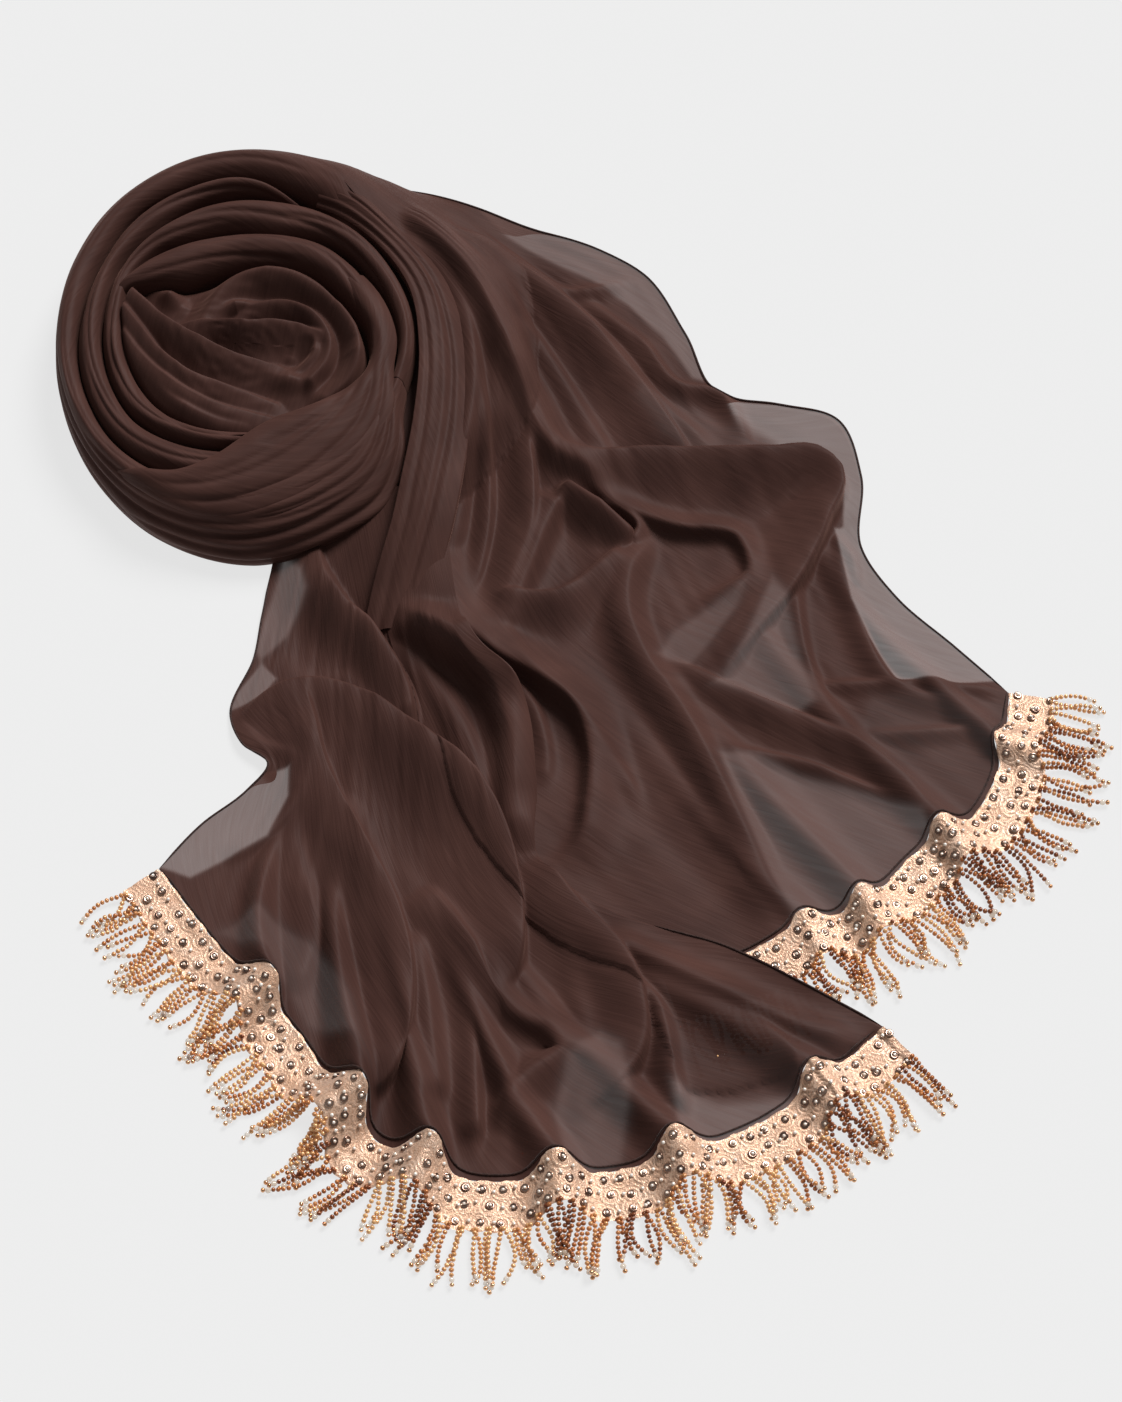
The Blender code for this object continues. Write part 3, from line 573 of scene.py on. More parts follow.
def streaks_group() -> bpy.types.NodeTree:
    """Fine uneven lines along a surface's own V direction, as in crinkled cloth or wound cord.

    Its inputs are the surface's own measures, lines across a metre and lines down a metre. It puts out
    a mask of thin lines, and softer cloudy shades.
    """
    found = bpy.data.node_groups.get("streaks")
    if found:
        return found
    group = bpy.data.node_groups.new("streaks", "ShaderNodeTree")
    face = group.interface
    face.new_socket("Measures", in_out="INPUT", socket_type="NodeSocketVector")
    for name, value in (("Across", 420.0), ("Down", 26.0), ("Turn", 0.0)):
        face.new_socket(name, in_out="INPUT", socket_type="NodeSocketFloat").default_value = value
    for name in ("Lines", "Clouds"):
        face.new_socket(name, in_out="OUTPUT", socket_type="NodeSocketFloat")
    nodes = group.nodes
    given = nodes.new("NodeGroupInput")
    out = nodes.new("NodeGroupOutput")
    turned = nodes.new("ShaderNodeVectorRotate")
    turned.rotation_type = "Z_AXIS"
    link(group, given.outputs["Measures"], turned.inputs["Vector"])
    link(group, given.outputs["Turn"], turned.inputs["Angle"])
    scale = nodes.new("ShaderNodeCombineXYZ")
    link(group, given.outputs["Across"], scale.inputs["X"])
    link(group, given.outputs["Down"], scale.inputs["Y"])
    stretched = nodes.new("ShaderNodeVectorMath")
    stretched.operation = "MULTIPLY"
    link(group, turned.outputs["Vector"], stretched.inputs[0])
    link(group, scale.outputs["Vector"], stretched.inputs[1])
    lines = nodes.new("ShaderNodeTexNoise")
    lines.inputs["Scale"].default_value = 1.0
    lines.inputs["Detail"].default_value = 3.0
    lines.inputs["Distortion"].default_value = 0.6
    link(group, stretched.outputs["Vector"], lines.inputs["Vector"])
    clouds = nodes.new("ShaderNodeTexNoise")
    clouds.inputs["Scale"].default_value = 16.0
    clouds.inputs["Detail"].default_value = 2.0
    link(group, given.outputs["Measures"], clouds.inputs["Vector"])
    link(group, lines.outputs["Fac"], out.inputs["Lines"])
    link(group, clouds.outputs["Fac"], out.inputs["Clouds"])
    return group


@dataclass(frozen=True)
class Finish:
    """What all finishes share: a name and a Principled shader with set values."""

    name: str

    def start(
        self, **values: float | tuple
    ) -> tuple[bpy.types.Material, bpy.types.NodeTree, bpy.types.Node]:
        """A new material whose shader has these values on its own sockets."""
        made = bpy.data.materials.new(self.name)
        made.use_nodes = True
        tree = made.node_tree
        shader = tree.nodes["Principled BSDF"]
        for key, value in values.items():
            shader.inputs[key.replace("_", " ")].default_value = value
        return made, tree, shader


def own_attribute(tree: bpy.types.NodeTree, name: str) -> bpy.types.NodeSocket:
    """The number that a mesh keeps at its points under this name."""
    node = tree.nodes.new("ShaderNodeAttribute")
    node.attribute_name = name
    return node.outputs["Fac"]


def math_node(tree: bpy.types.NodeTree, operation: str, *inputs: object) -> bpy.types.NodeSocket:
    """One operation on two or three values, each a number or a socket."""
    node = tree.nodes.new("ShaderNodeMath")
    node.operation = operation
    for socket, value in zip(node.inputs, inputs):
        if isinstance(value, (int, float)):
            socket.default_value = value
        else:
            link(tree, value, socket)
    return node.outputs[0]


def mixed(
    tree: bpy.types.NodeTree, share: bpy.types.NodeSocket, first: object, second: object
) -> bpy.types.NodeSocket:
    """A colour between two, each a colour or a socket."""
    node = tree.nodes.new("ShaderNodeMix")
    node.data_type = "RGBA"
    link(tree, share, node.inputs["Factor"])
    for key, value in (("A", first), ("B", second)):
        socket = [s for s in node.inputs if s.name == key and s.type == "RGBA"][0]
        if isinstance(value, tuple):
            socket.default_value = (*value, 1.0)
        else:
            link(tree, value, socket)
    return [s for s in node.outputs if s.type == "RGBA"][0]


def ramp(
    tree: bpy.types.NodeTree, value: bpy.types.NodeSocket, low: float, high: float
) -> bpy.types.NodeSocket:
    """A value spread from 0 to 1 between two limits."""
    node = tree.nodes.new("ShaderNodeMapRange")
    node.inputs["From Min"].default_value = low
    node.inputs["From Max"].default_value = high
    link(tree, value, node.inputs["Value"])
    return node.outputs["Result"]


@dataclass(frozen=True)
class Chiffon(Finish):
    """Sheer crinkled chiffon. What passes through it falls with the layers that lie together.

    Its colour goes from the shade to the light with its lines and its clouds, and to the thin colour
    where few layers lie together.
    """

    shade: tuple[float, float, float] = (0.045, 0.0198, 0.016)
    light: tuple[float, float, float] = (0.084, 0.0385, 0.0308)
    thin: tuple[float, float, float] = (0.105, 0.047, 0.037)
    passes: float = 0.25
    crinkle: float = 0.22
    line_share: float = 0.32
    cloud_share: float = 0.62
    thin_from: float = 1.0
    thin_to: float = 3.0
    thread_swing: float = 0.14
    turned_by: float = 0.35

    def make(self) -> bpy.types.Material:
        """The finish as a material."""
        made, tree, shader = self.start(
            Roughness=0.55,
            IOR=1.33,
            Specular_IOR_Level=0.14,
            Sheen_Weight=0.13,
            Sheen_Roughness=0.4,
            Sheen_Tint=(0.8, 0.42, 0.33, 1.0),
        )
        measures = tree.nodes.new("ShaderNodeUVMap")
        measures.uv_map = "cloth"
        streaks = tree.nodes.new("ShaderNodeGroup")
        streaks.node_tree = streaks_group()
        streaks.inputs["Turn"].default_value = self.turned_by
        link(tree, measures.outputs["UV"], streaks.inputs["Measures"])
        fine = ramp(tree, streaks.outputs["Lines"], 0.3, 0.72)
        cloudy = ramp(tree, streaks.outputs["Clouds"], 0.3, 0.7)
        clouds = math_node(tree, "MULTIPLY", cloudy, self.cloud_share)
        shade = math_node(tree, "MULTIPLY_ADD", fine, self.line_share, clouds)
        layers = own_attribute(tree, "layers")
        dense = mixed(tree, shade, self.shade, self.light)
        dense_share = ramp(tree, layers, self.thin_from, self.thin_to)
        link(tree, mixed(tree, dense_share, self.thin, dense), shader.inputs["Base Color"])
        least = 1.0 - self.thread_swing / 2
        threads = math_node(tree, "MULTIPLY_ADD", fine, self.thread_swing, least)
        thick = math_node(tree, "MULTIPLY", layers, threads)
        clear = math_node(tree, "POWER", self.passes, thick)
        link(tree, math_node(tree, "SUBTRACT", 1.0, clear), shader.inputs["Alpha"])
        bump = tree.nodes.new("ShaderNodeBump")
        bump.inputs["Strength"].default_value = self.crinkle
        bump.inputs["Distance"].default_value = 0.0006
        link(tree, fine, bump.inputs["Height"])
        link(tree, bump.outputs["Normal"], shader.inputs["Normal"])
        return made


@dataclass(frozen=True)
class RolledEdge(Finish):
    """The same chiffon rolled and sewn: several layers, almost opaque."""

    dark: tuple[float, float, float] = (0.022, 0.011, 0.009)
    bright: tuple[float, float, float] = (0.06, 0.03, 0.025)
    grain: float = 900.0

    def make(self) -> bpy.types.Material:
        """The finish as a material."""
        made, tree, shader = self.start(Roughness=0.6, Specular_IOR_Level=0.15, Sheen_Weight=0.1, IOR=1.4)
        place = tree.nodes.new("ShaderNodeTexCoord")
        noise = tree.nodes.new("ShaderNodeTexNoise")
        noise.inputs["Scale"].default_value = self.grain
        link(tree, place.outputs["Object"], noise.inputs["Vector"])
        colour = mixed(tree, ramp(tree, noise.outputs["Fac"], 0.35, 0.65), self.dark, self.bright)
        link(tree, colour, shader.inputs["Base Color"])
        return made


@dataclass(frozen=True)
class EmbroideredNet(Finish):
    """Fine net with rose-gold cord sewn on it: the cord's height is kept at the mesh's points."""

    # The colour where the cords stand low: partly the net's own ground, partly painted shade between the
    # raised cords
    deep: tuple[float, float, float] = (0.34, 0.16, 0.085)
    cord: tuple[float, float, float] = (0.90, 0.60, 0.43)
    thread: tuple[float, float, float] = (0.96, 0.79, 0.64)
    rust: tuple[float, float, float] = (0.74, 0.40, 0.23)
    meshes: float = 1150.0
    patches: float = 60.0

    def make(self) -> bpy.types.Material:
        """The finish as a material."""
        made, tree, shader = self.start(Roughness=0.42, Sheen_Weight=0.25, IOR=1.45)
        measures = tree.nodes.new("ShaderNodeUVMap")
        measures.uv_map = "cloth"
        cord = own_attribute(tree, "cord")
        net = tree.nodes.new("ShaderNodeTexVoronoi")
        net.inputs["Scale"].default_value = self.meshes
        link(tree, measures.outputs["UV"], net.inputs["Vector"])
        noise = tree.nodes.new("ShaderNodeTexNoise")
        noise.inputs["Scale"].default_value = self.patches
        noise.inputs["Detail"].default_value = 3.0
        link(tree, measures.outputs["UV"], noise.inputs["Vector"])
        # Darker where the cords stand low: partly the net's own ground, partly painted shade between the
        # raised cords
        base = mixed(tree, ramp(tree, cord, 0.0, 1.0), self.deep, self.cord)
        holes = ramp(tree, net.outputs["Distance"], 0.25, 0.75)
        base = mixed(tree, math_node(tree, "MULTIPLY", holes, 0.4), base, self.thread)
        tint = mixed(tree, ramp(tree, noise.outputs["Fac"], 0.35, 0.68), base, self.rust)
        faded = math_node(tree, "MULTIPLY", ramp(tree, noise.outputs["Fac"], 0.3, 0.6), 0.5)
        light = mixed(tree, faded, tint, base)
        link(tree, light, shader.inputs["Base Color"])
        bump = tree.nodes.new("ShaderNodeBump")
        bump.inputs["Strength"].default_value = 0.55
        bump.inputs["Distance"].default_value = 0.0005
        link(tree, net.outputs["Distance"], bump.inputs["Height"])
        link(tree, bump.outputs["Normal"], shader.inputs["Normal"])
        shine = math_node(tree, "MULTIPLY_ADD", cord, 0.5, 0.1)
        link(tree, shine, shader.inputs["Metallic"])
        return made


@dataclass(frozen=True)
class Bead(Finish):
    """A hard bright bead: metal, glass or pearl, with the tone of each bead kept at its points."""

    dark: tuple[float, float, float] = (0.17, 0.028, 0.008)
    middle: tuple[float, float, float] = (0.68, 0.25, 0.075)
    bright: tuple[float, float, float] = (0.97, 0.58, 0.27)
    metal: float = 0.0
    through: float = 0.0
    rough: float = 0.12
    grain: float = 700.0

    def make(self) -> bpy.types.Material:
        """The finish as a material."""
        made, tree, shader = self.start(
            Roughness=self.rough,
            Metallic=self.metal,
            Transmission_Weight=self.through,
            Coat_Weight=0.4,
            Coat_Roughness=0.05,
            IOR=1.5,
        )
        tone = own_attribute(tree, "tone")
        place = tree.nodes.new("ShaderNodeTexCoord")
        noise = tree.nodes.new("ShaderNodeTexNoise")
        noise.inputs["Scale"].default_value = self.grain
        link(tree, place.outputs["Object"], noise.inputs["Vector"])
        share = math_node(tree, "MULTIPLY_ADD", ramp(tree, noise.outputs["Fac"], 0.3, 0.7), 0.2, tone)
        lower = mixed(tree, ramp(tree, share, 0.0, 0.5), self.dark, self.middle)
        link(tree, mixed(tree, ramp(tree, share, 0.5, 1.0), lower, self.bright), shader.inputs["Base Color"])
        return made


@dataclass
class Finishes:
    """Every finish of the hijab, made once."""

    def __post_init__(self) -> None:
        """Makes the materials."""
        self.chiffon = Chiffon("sheer_chiffon").make()
        self.edge = RolledEdge("rolled_edge").make()
        self.net = EmbroideredNet("embroidered_net").make()
        self.seed = Bead("seed_glass", metal=0.2, through=0.3).make()
        pale = {"dark": (0.9, 0.74, 0.6), "middle": (0.96, 0.84, 0.72), "bright": (1.0, 0.93, 0.85)}
        self.clear = Bead("clear_bead", **pale, through=0.75, rough=0.05).make()
        self.pearl = Bead("pearl", **pale, metal=0.2, rough=0.15).make()
        gold = {"dark": (0.5, 0.22, 0.09), "middle": (0.75, 0.4, 0.2), "bright": (0.95, 0.62, 0.38)}
        self.gold = Bead("gold_bead", **gold, metal=0.85, rough=0.18).make()
        bronze = {"dark": (0.1, 0.055, 0.04), "middle": (0.26, 0.16, 0.12), "bright": (0.45, 0.31, 0.24)}
        self.sequin = Bead("dark_sequin", **bronze, metal=0.95, rough=0.2).make()


# ---- the rosette ----


@dataclass(frozen=True)
class Crease:
    """A soft groove that climbs along a turn of the rosette, or a ridge below 0.

    It runs between two angles. Its place on the section goes from one part to another, 0 being the
    inner edge and 1 the outer. Its depth and width are in millimetres.
    """

    angles: tuple[float, float]
    parts: tuple[float, float]
    depth: float
    width: float


@dataclass
class Turn:
    """One turn of the rosette, as rows of angle, inner, crest and outer radius, height and foot."""

    name: str
    rows: Points
    creases: tuple[Crease, ...]
    steps: int = 300
    count: int = 56
    fine: float = 0.22
    seed: int = 1

    SECTION = (
        ("inner", 0.0, 0.0),
        ("inner", 0.12, 0.62),
        ("inner", 0.55, 0.93),
        ("inner", 1.0, 1.0),
        ("outer", 0.42, 0.9),
        ("outer", 0.78, 0.62),
        ("outer", 1.0, 0.3),
        ("outer", 0.92, 0.0),
    )

    def section(self, row: Array) -> Array:
        """The half tube of the turn at one angle: radii and heights from its inner to its outer leg.

        Args:
            row: inner, crest and outer radius, height and foot at that angle.

        Returns:
            One radius and one height for each point.
        """
        inner, crest, outer, height, foot = row
        points = []
        for leg, across, up in self.SECTION:
            if leg == "inner":
                points.append((inner + across * (crest - inner), CORE_TOP + up * (height - CORE_TOP)))
            else:
                points.append((crest + across * (outer - crest), foot + up * (height - foot)))
        return curve_through(points, self.count)

    def shape(self) -> Sheet:
        """The turn's surface with its creases."""
        knots = np.array([row[0] for row in self.rows])
        angles = np.linspace(knots[0], knots[-1], self.steps)
        rows = read_between(knots, np.array(self.rows)[:, 1:], angles)
        rows[:, -1] = np.maximum(rows[:, -1], 0.0)
        ripples = soft_noise(self.steps, self.count, self.steps // 16, self.count // 3, self.seed)
        waves = soft_noise(self.steps, self.count, self.steps // 30, self.count // 8, self.seed + 50)
        surface = np.zeros((self.steps, self.count, 3))
        for step, degrees in enumerate(angles):
            section = self.section(rows[step])
            run = lengths_along(section)
            ahead = np.gradient(section, axis=0)
            ahead /= np.linalg.norm(ahead, axis=1)[:, None]
            inward = np.stack([ahead[:, 1], -ahead[:, 0]], axis=1)
            drawn = self.fine * ripples[step] + 1.2 * self.fine * waves[step]
            for crease in self.creases:
                drawn = drawn + self.crease_at(crease, degrees, run)
            free = smooth_step(run / 3.0) * smooth_step((run[-1] - run) / 3.0)
            section = section + inward * (drawn * free)[:, None]
            section[:, 1] = np.maximum(section[:, 1], 0.3)
            turn = math.radians(degrees)
            surface[step, :, 0] = ROSETTE_CENTRE[0] + section[:, 0] * math.cos(turn)
            surface[step, :, 1] = ROSETTE_CENTRE[1] + section[:, 0] * math.sin(turn)
            surface[step, :, 2] = section[:, 1]
        return Sheet(surface, np.full(surface.shape[:2], 6.0))

    def step_at(self, degrees: float) -> int:
        """The step of the turn that lies nearest an angle."""
        first, last = self.rows[0][0], self.rows[-1][0]
        return round((degrees - first) / (last - first) * (self.steps - 1))

    @staticmethod
    def crease_at(crease: Crease, degrees: float, run: Array) -> Array:
        """How deep one crease draws each point of a section in.

        Args:
            crease: the crease.
            degrees: the angle of the section.
            run: how far along it each point is.

        Returns:
            One depth in millimetres for each point.
        """
        first, last = crease.angles
        along = (degrees - first) / (last - first)
        if not 0.0 < along < 1.0:
            return np.zeros(len(run))
        place = (crease.parts[0] + along * (crease.parts[1] - crease.parts[0])) * run[-1]
        fade = float(smooth_step(np.array(along / 0.2)) * smooth_step(np.array((1.0 - along) / 0.2)))
        return crease.depth * fade * np.exp(-(np.abs(run - place) / crease.width) ** 1.6)


@dataclass
class Mound:
    """A round piece over the middle of the rosette, from its rim inwards."""

    name: str
    rim: Points
    low: float
    top: float
    folds: tuple[Fold, ...] = ()
    steps: int = 420
    rings: int = 110
    fine: float = 0.3

    def shape(self) -> Sheet:
        """The mound's surface, as a grid of angles by rings."""
        angles = np.linspace(0.0, 360.0, self.steps, endpoint=False)
        rows = read_between([row[0] for row in self.rim], [row[1:] for row in self.rim], angles)
        radius, edge = rows[:, 0], rows[:, 1]
        reach = np.linspace(0.0, 0.995, self.rings) ** 0.8
        inset = reach[None] * radius[:, None]
        rounded = np.clip(inset / edge[:, None], 0.0, 1.0)
        surface = np.zeros((self.steps, self.rings, 3))
        turn = np.radians(angles)[:, None]
        surface[..., 0] = ROSETTE_CENTRE[0] + (radius[:, None] - inset) * np.cos(turn)
        surface[..., 1] = ROSETTE_CENTRE[1] + (radius[:, None] - inset) * np.sin(turn)
        surface[..., 2] = self.low + (self.top - self.low) * np.sqrt(1.0 - (1.0 - rounded) ** 2)
        if self.folds:
            rise, _ = FoldField(self.folds, 1.75, 5.0, blunt=1.0).raised(surface[..., :2])
            surface[..., 2] += rise * smooth_step(inset / 5.0)
            calm = smooth_step((radius[:, None] - inset) / 14.0)
            surface[..., 2] += self.fine * calm * soft_noise(self.steps, self.rings, 26, 18, 77)
        return Sheet(surface, np.full(surface.shape[:2], 6.0), from_above=bool(self.folds))


@dataclass
class Rosette:
    """The wound middle of the hijab: its hidden core, its turns and its heart."""

    finishes: Finishes
    table: Table

    def build(self) -> list[bpy.types.Object]:
        """Makes every piece of the rosette."""
        made = []
        core = Mound("core_wrap", CORE_RIM, 0.3, 30.0, steps=200, rings=24)
        sheet = core.shape()
        self.table.lay(finer(np.concatenate([sheet.points, sheet.points[:1]]), 900, 120))
        made.append(self.piece(core.name, sheet, "coil_core", "folded", True))
        heart = Mound("heart_petals", HEART_RIM, CORE_TOP, 37.0, HEART_FOLDS, 360, 120, 0.35)
        made.append(self.piece(heart.name, heart.shape(), "heart", "folded", True))
        for turn in (INNER_TURN, THIRD_TURN, SECOND_TURN, OUTER_TURN, LIP_TURN):
            node = "second_turn" if turn is LIP_TURN else turn.name
            made.append(self.piece(f"{turn.name}_wrap", turn.shape(), node, "gathered"))
        sheet = TurnedEdge().turn(SHOULDER.shape(), self.table, SHOULDER.side_foot)
        made.append(self.piece("shoulder_wrap", sheet, "shoulder_band", "folded"))
        return made

    def piece(self, name: str, sheet: Sheet, node: str, held: str, closed: bool = False) -> bpy.types.Object:
        """One stretch of cloth of the rosette, made as a mesh from a sheet, with its CAD part hidden."""
        made = add_sheet(name, sheet, self.finishes.chiffon, closed)
        return dress(made, node)


def dress(
    made: bpy.types.Object,
    node: str,
) -> bpy.types.Object:
    """Hides the CAD part that a sheet stands for.

    Args:
        made: the object.
        node: the CAD node that it stands for.

    Returns:
        The same object.
    """
    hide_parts(node)
    return made


@dataclass(frozen=True)
class Shoulder:
    """The smooth band on the right shoulder of the rosette, between two lines.

    Each crease has its place across the band, how far it drifts, its depth and its width.
    """

    left: Points
    right: Points
    creases: Points
    steps: int = 200
    count: int = 60
    arch: float = 5.0
    fine: float = 0.3
    side_foot: float = 8.0

    def shape(self) -> Sheet:
        """The band's surface with its creases."""
        left, right = curve_through(self.left, self.steps), curve_through(self.right, self.steps)
        across = np.linspace(0.0, 1.0, self.count)[None, :, None]
        surface = left[:, None] * (1.0 - across) + right[:, None] * across
        part = across[..., 0]
        along = np.linspace(0.0, 1.0, self.steps)[:, None]
        free = np.sin(math.pi * part)
        surface[..., 2] += self.arch * free
        for place, drift, depth, width in self.creases:
            offset = (part - place - drift * along) / width
            surface[..., 2] -= depth * np.exp(-(offset**2)) * free
        surface[..., 2] += self.fine * soft_noise(self.steps, self.count, 10, 12, 5) * free
        return Sheet(surface, np.full(surface.shape[:2], 5.0))


# ---- the two ends ----


@dataclass(frozen=True)
class Ridge:
    """A ridge of the hem: where along it, how far it draws it in, its height and its width."""

    along: float
    pull: float
    rise: float
    width: float


@dataclass(frozen=True)
class Window:
    """A place where fewer layers lie together, inside a closed line on the table."""

    name: str
    layers: float
    soft: float
    line: Points


def inside_by(points: Array, line: Points) -> Array:
    """How far inside a closed line each point is, below 0 outside it.

    Args:
        points: a grid of places on the table.
        line: the corners of the closed line.

    Returns:
        One distance in millimetres for each point.
    """
    corners = np.asarray(line, float)
    after = np.roll(corners, -1, axis=0)
    flat = points.reshape(-1, 2)
    gap = np.full(len(flat), np.inf)
    crossed = np.zeros(len(flat), int)
    for start, end in zip(corners, after):
        leg = end - start
        part = np.clip(((flat - start) @ leg) / (leg @ leg), 0.0, 1.0)
        gap = np.minimum(gap, np.linalg.norm(flat - start - part[:, None] * leg, axis=1))
        spans = (start[1] > flat[:, 1]) != (end[1] > flat[:, 1])
        rise = end[1] - start[1] if end[1] != start[1] else 1e-9
        crossed += spans & (flat[:, 0] < start[0] + (flat[:, 1] - start[1]) * leg[0] / rise)
    return np.where(crossed % 2 == 1, gap, -gap).reshape(points.shape[:2])


@dataclass
class Hem:
    """The hem of one end, at fine steps: its line, how its ridges raise it, and its outward ways."""

    points: Points
    ridges: tuple[Ridge, ...]
    count: int

    def __post_init__(self) -> None:
        """Reads the line and draws it in at each ridge."""
        line = curve_through([point[:2] for point in self.points], self.count)
        ahead = np.gradient(line, axis=0)
        ahead /= np.linalg.norm(ahead, axis=1)[:, None]
        for _ in range(int(6 * (self.count / 41) ** 2)):
            ahead[1:-1] = (ahead[:-2] + 2 * ahead[1:-1] + ahead[2:]) / 4
        outward = np.stack([ahead[:, 1], -ahead[:, 0]], axis=1)
        self.outward = outward / np.linalg.norm(outward, axis=1)[:, None]
        self.run = lengths_along(line)
        pull = np.zeros(self.count)
        self.rise = np.zeros(self.count)
        self.lean = np.zeros(self.count)
        for ridge in self.ridges:
            offset = (self.run - ridge.along * self.run[-1]) / ridge.width
            pull += ridge.pull * np.exp(-np.abs(offset) ** 2.5)
            self.rise += ridge.rise * np.exp(-np.abs(offset) ** 2.2)
            self.lean += -offset * np.exp(-(offset**2) / 4.0)
        self.line = line - self.outward * pull[:, None]


# How high cloth lies at least where nothing is below it, and its gap above other cloth
RESTING = 1.2
CLOTH_GAP = 0.45


@dataclass
class End:
    """One end of the hijab, spread out on the table: its cloth, hems, trim and fringe."""

    name: str
    top: Points
    hem_points: Points
    left: Points
    right: Points
    ridges: tuple[Ridge, ...]
    folds: tuple[Fold, ...]
    windows: tuple[Window, ...]
    coarse: tuple[int, int]
    fine: tuple[int, int]
    dense: float
    edges_from: tuple[float, float]
    seed: int
    hem_part: float = 0.62

    def plan(self) -> Array:
        """The fine plan between its four edges, from its top row to its hem."""
        down, across = self.coarse
        hem = Hem(self.hem_points, self.ridges, across).line
        top = curve_through([point[:2] for point in self.top], across)
        left, right = curve_through(self.left, down), curve_through(self.right, down)
        left[-1], right[-1] = hem[0], hem[-1]
        coarse = evened(ruled_between(top, hem, left, right), 400)
        plan = finer(coarse, *self.fine)
        rows, columns = self.fine
        hem = Hem(self.hem_points, self.ridges, columns).line
        top = curve_through([point[:2] for point in self.top], columns)
        left, right = curve_through(self.left, rows), curve_through(self.right, rows)
        left[-1], right[-1] = hem[0], hem[-1]
        edges = ruled_between(top - plan[0], hem - plan[-1], left - plan[:, 0], right - plan[:, -1])
        return evened(plan + edges, 60)

    def shape(self, table: Table, root: Array | None = None) -> Sheet:
        """The cloth of this end, on what already lies on the table.

        Args:
            table: what lies below it.
            root: the line of the rosette that its top row runs on from, if any.

        Returns:
            The cloth as a sheet.
        """
        rows, columns = self.fine
        plan = self.plan()
        hem = Hem(self.hem_points, self.ridges, columns)
        down = np.linspace(0.0, 1.0, rows)[:, None]
        near_hem = smooth_step((down - self.hem_part) / (1.0 - self.hem_part))
        rise, shift = FoldField(self.folds).raised(plan)
        rise = np.cbrt(rise**3 + (hem.rise[None] * near_hem) ** 3)
        wrinkles = 0.25 * soft_noise(rows, columns, rows // 26, columns // 5, self.seed)
        wrinkles += 0.5 * soft_noise(rows, columns, rows // 40, columns // 9, self.seed + 1)
        wrinkles += 1.2 * soft_noise(rows, columns, rows // 50, columns // 22, self.seed + 2)
        rise = rise * smooth_step(0.25 + down / 0.16) + RESTING + wrinkles * smooth_step(down / 0.1)
        rise = np.maximum(rise, 0.0)
        lift = curve_through(self.top, columns)[:, 2] - RESTING
        held_up = lift[None] * (1.0 - smooth_step(down / 0.22))
        below = table.under(plan)
        below = np.where(below > RESTING, below + CLOTH_GAP, 0.0)
        height = below + 1.0 + (rise**4 + np.maximum(held_up - below, 0.0) ** 4) ** 0.25
        edge = smooth_step(down / 0.03) * smooth_step((1.0 - down) / 0.03)
        side = np.linspace(0.0, 1.0, columns)[None]
        edge = edge * smooth_step(side / 0.03) * smooth_step((1.0 - side) / 0.03)
        plan = plan + shift * edge[..., None]
        points = np.dstack([plan, np.maximum(height, 0.5)])
        if root is not None:
            moved = curve_through(root, columns) - points[0]
            points = points + moved[None] * (1.0 - smooth_step(down / 0.14))[..., None]
        return Sheet(points, self.layers(plan))

    def layers(self, plan: Array) -> Array:
        """How many layers lie together at each point of the cloth.

        Args:
            plan: the places of the cloth's points on the table.

        Returns:
            One count for each point.
        """
        layers = np.full(plan.shape[:2], self.dense)
        for window in self.windows:
            share = smooth_step(0.5 + inside_by(plan, window.line) / window.soft)
            layers = layers * (1.0 - share) + window.layers * share
        return layers


def ruled_between(top: Array, low: Array, left: Array, right: Array) -> Array:
    """A grid of points between four lines that meet at their ends.

    Args:
        top: the first row.
        low: the last row.
        left: the first column.
        right: the last column.

    Returns:
        The grid, with those lines as its edges.
    """
    across = np.linspace(0.0, 1.0, len(top))[None, :, None]
    down = np.linspace(0.0, 1.0, len(left))[:, None, None]
    ruled = (1 - down) * top[None] + down * low[None]
    ruled = ruled + (1 - across) * left[:, None] + across * right[:, None]
    corners = (1 - down) * ((1 - across) * top[0] + across * top[-1])
    return ruled - corners - down * ((1 - across) * low[0] + across * low[-1])


def evened(plan: Array, rounds: int) -> Array:
    """The same plan with its edges kept and its inner points moved until no cell turns over.

    Args:
        plan: a grid of places.
        rounds: how often its inner points are moved.

    Returns:
        The evened grid.
    """
    for _ in range(rounds):
        down = 0.5 * (plan[2:, 1:-1] - plan[:-2, 1:-1])
        across = 0.5 * (plan[1:-1, 2:] - plan[1:-1, :-2])
        skew = plan[2:, 2:] - plan[2:, :-2] - plan[:-2, 2:] + plan[:-2, :-2]
        long_down = (down**2).sum(axis=2)[..., None]
        long_across = (across**2).sum(axis=2)[..., None]
        turned = (down * across).sum(axis=2)[..., None]
        inner = long_down * (plan[1:-1, 2:] + plan[1:-1, :-2])
        inner = inner + long_across * (plan[2:, 1:-1] + plan[:-2, 1:-1])
        inner = (inner - 0.5 * turned * skew) / (2.0 * (long_down + long_across))
        plan = plan.copy()
        plan[1:-1, 1:-1] = inner
    return plan


# ---- trim and fringe ----


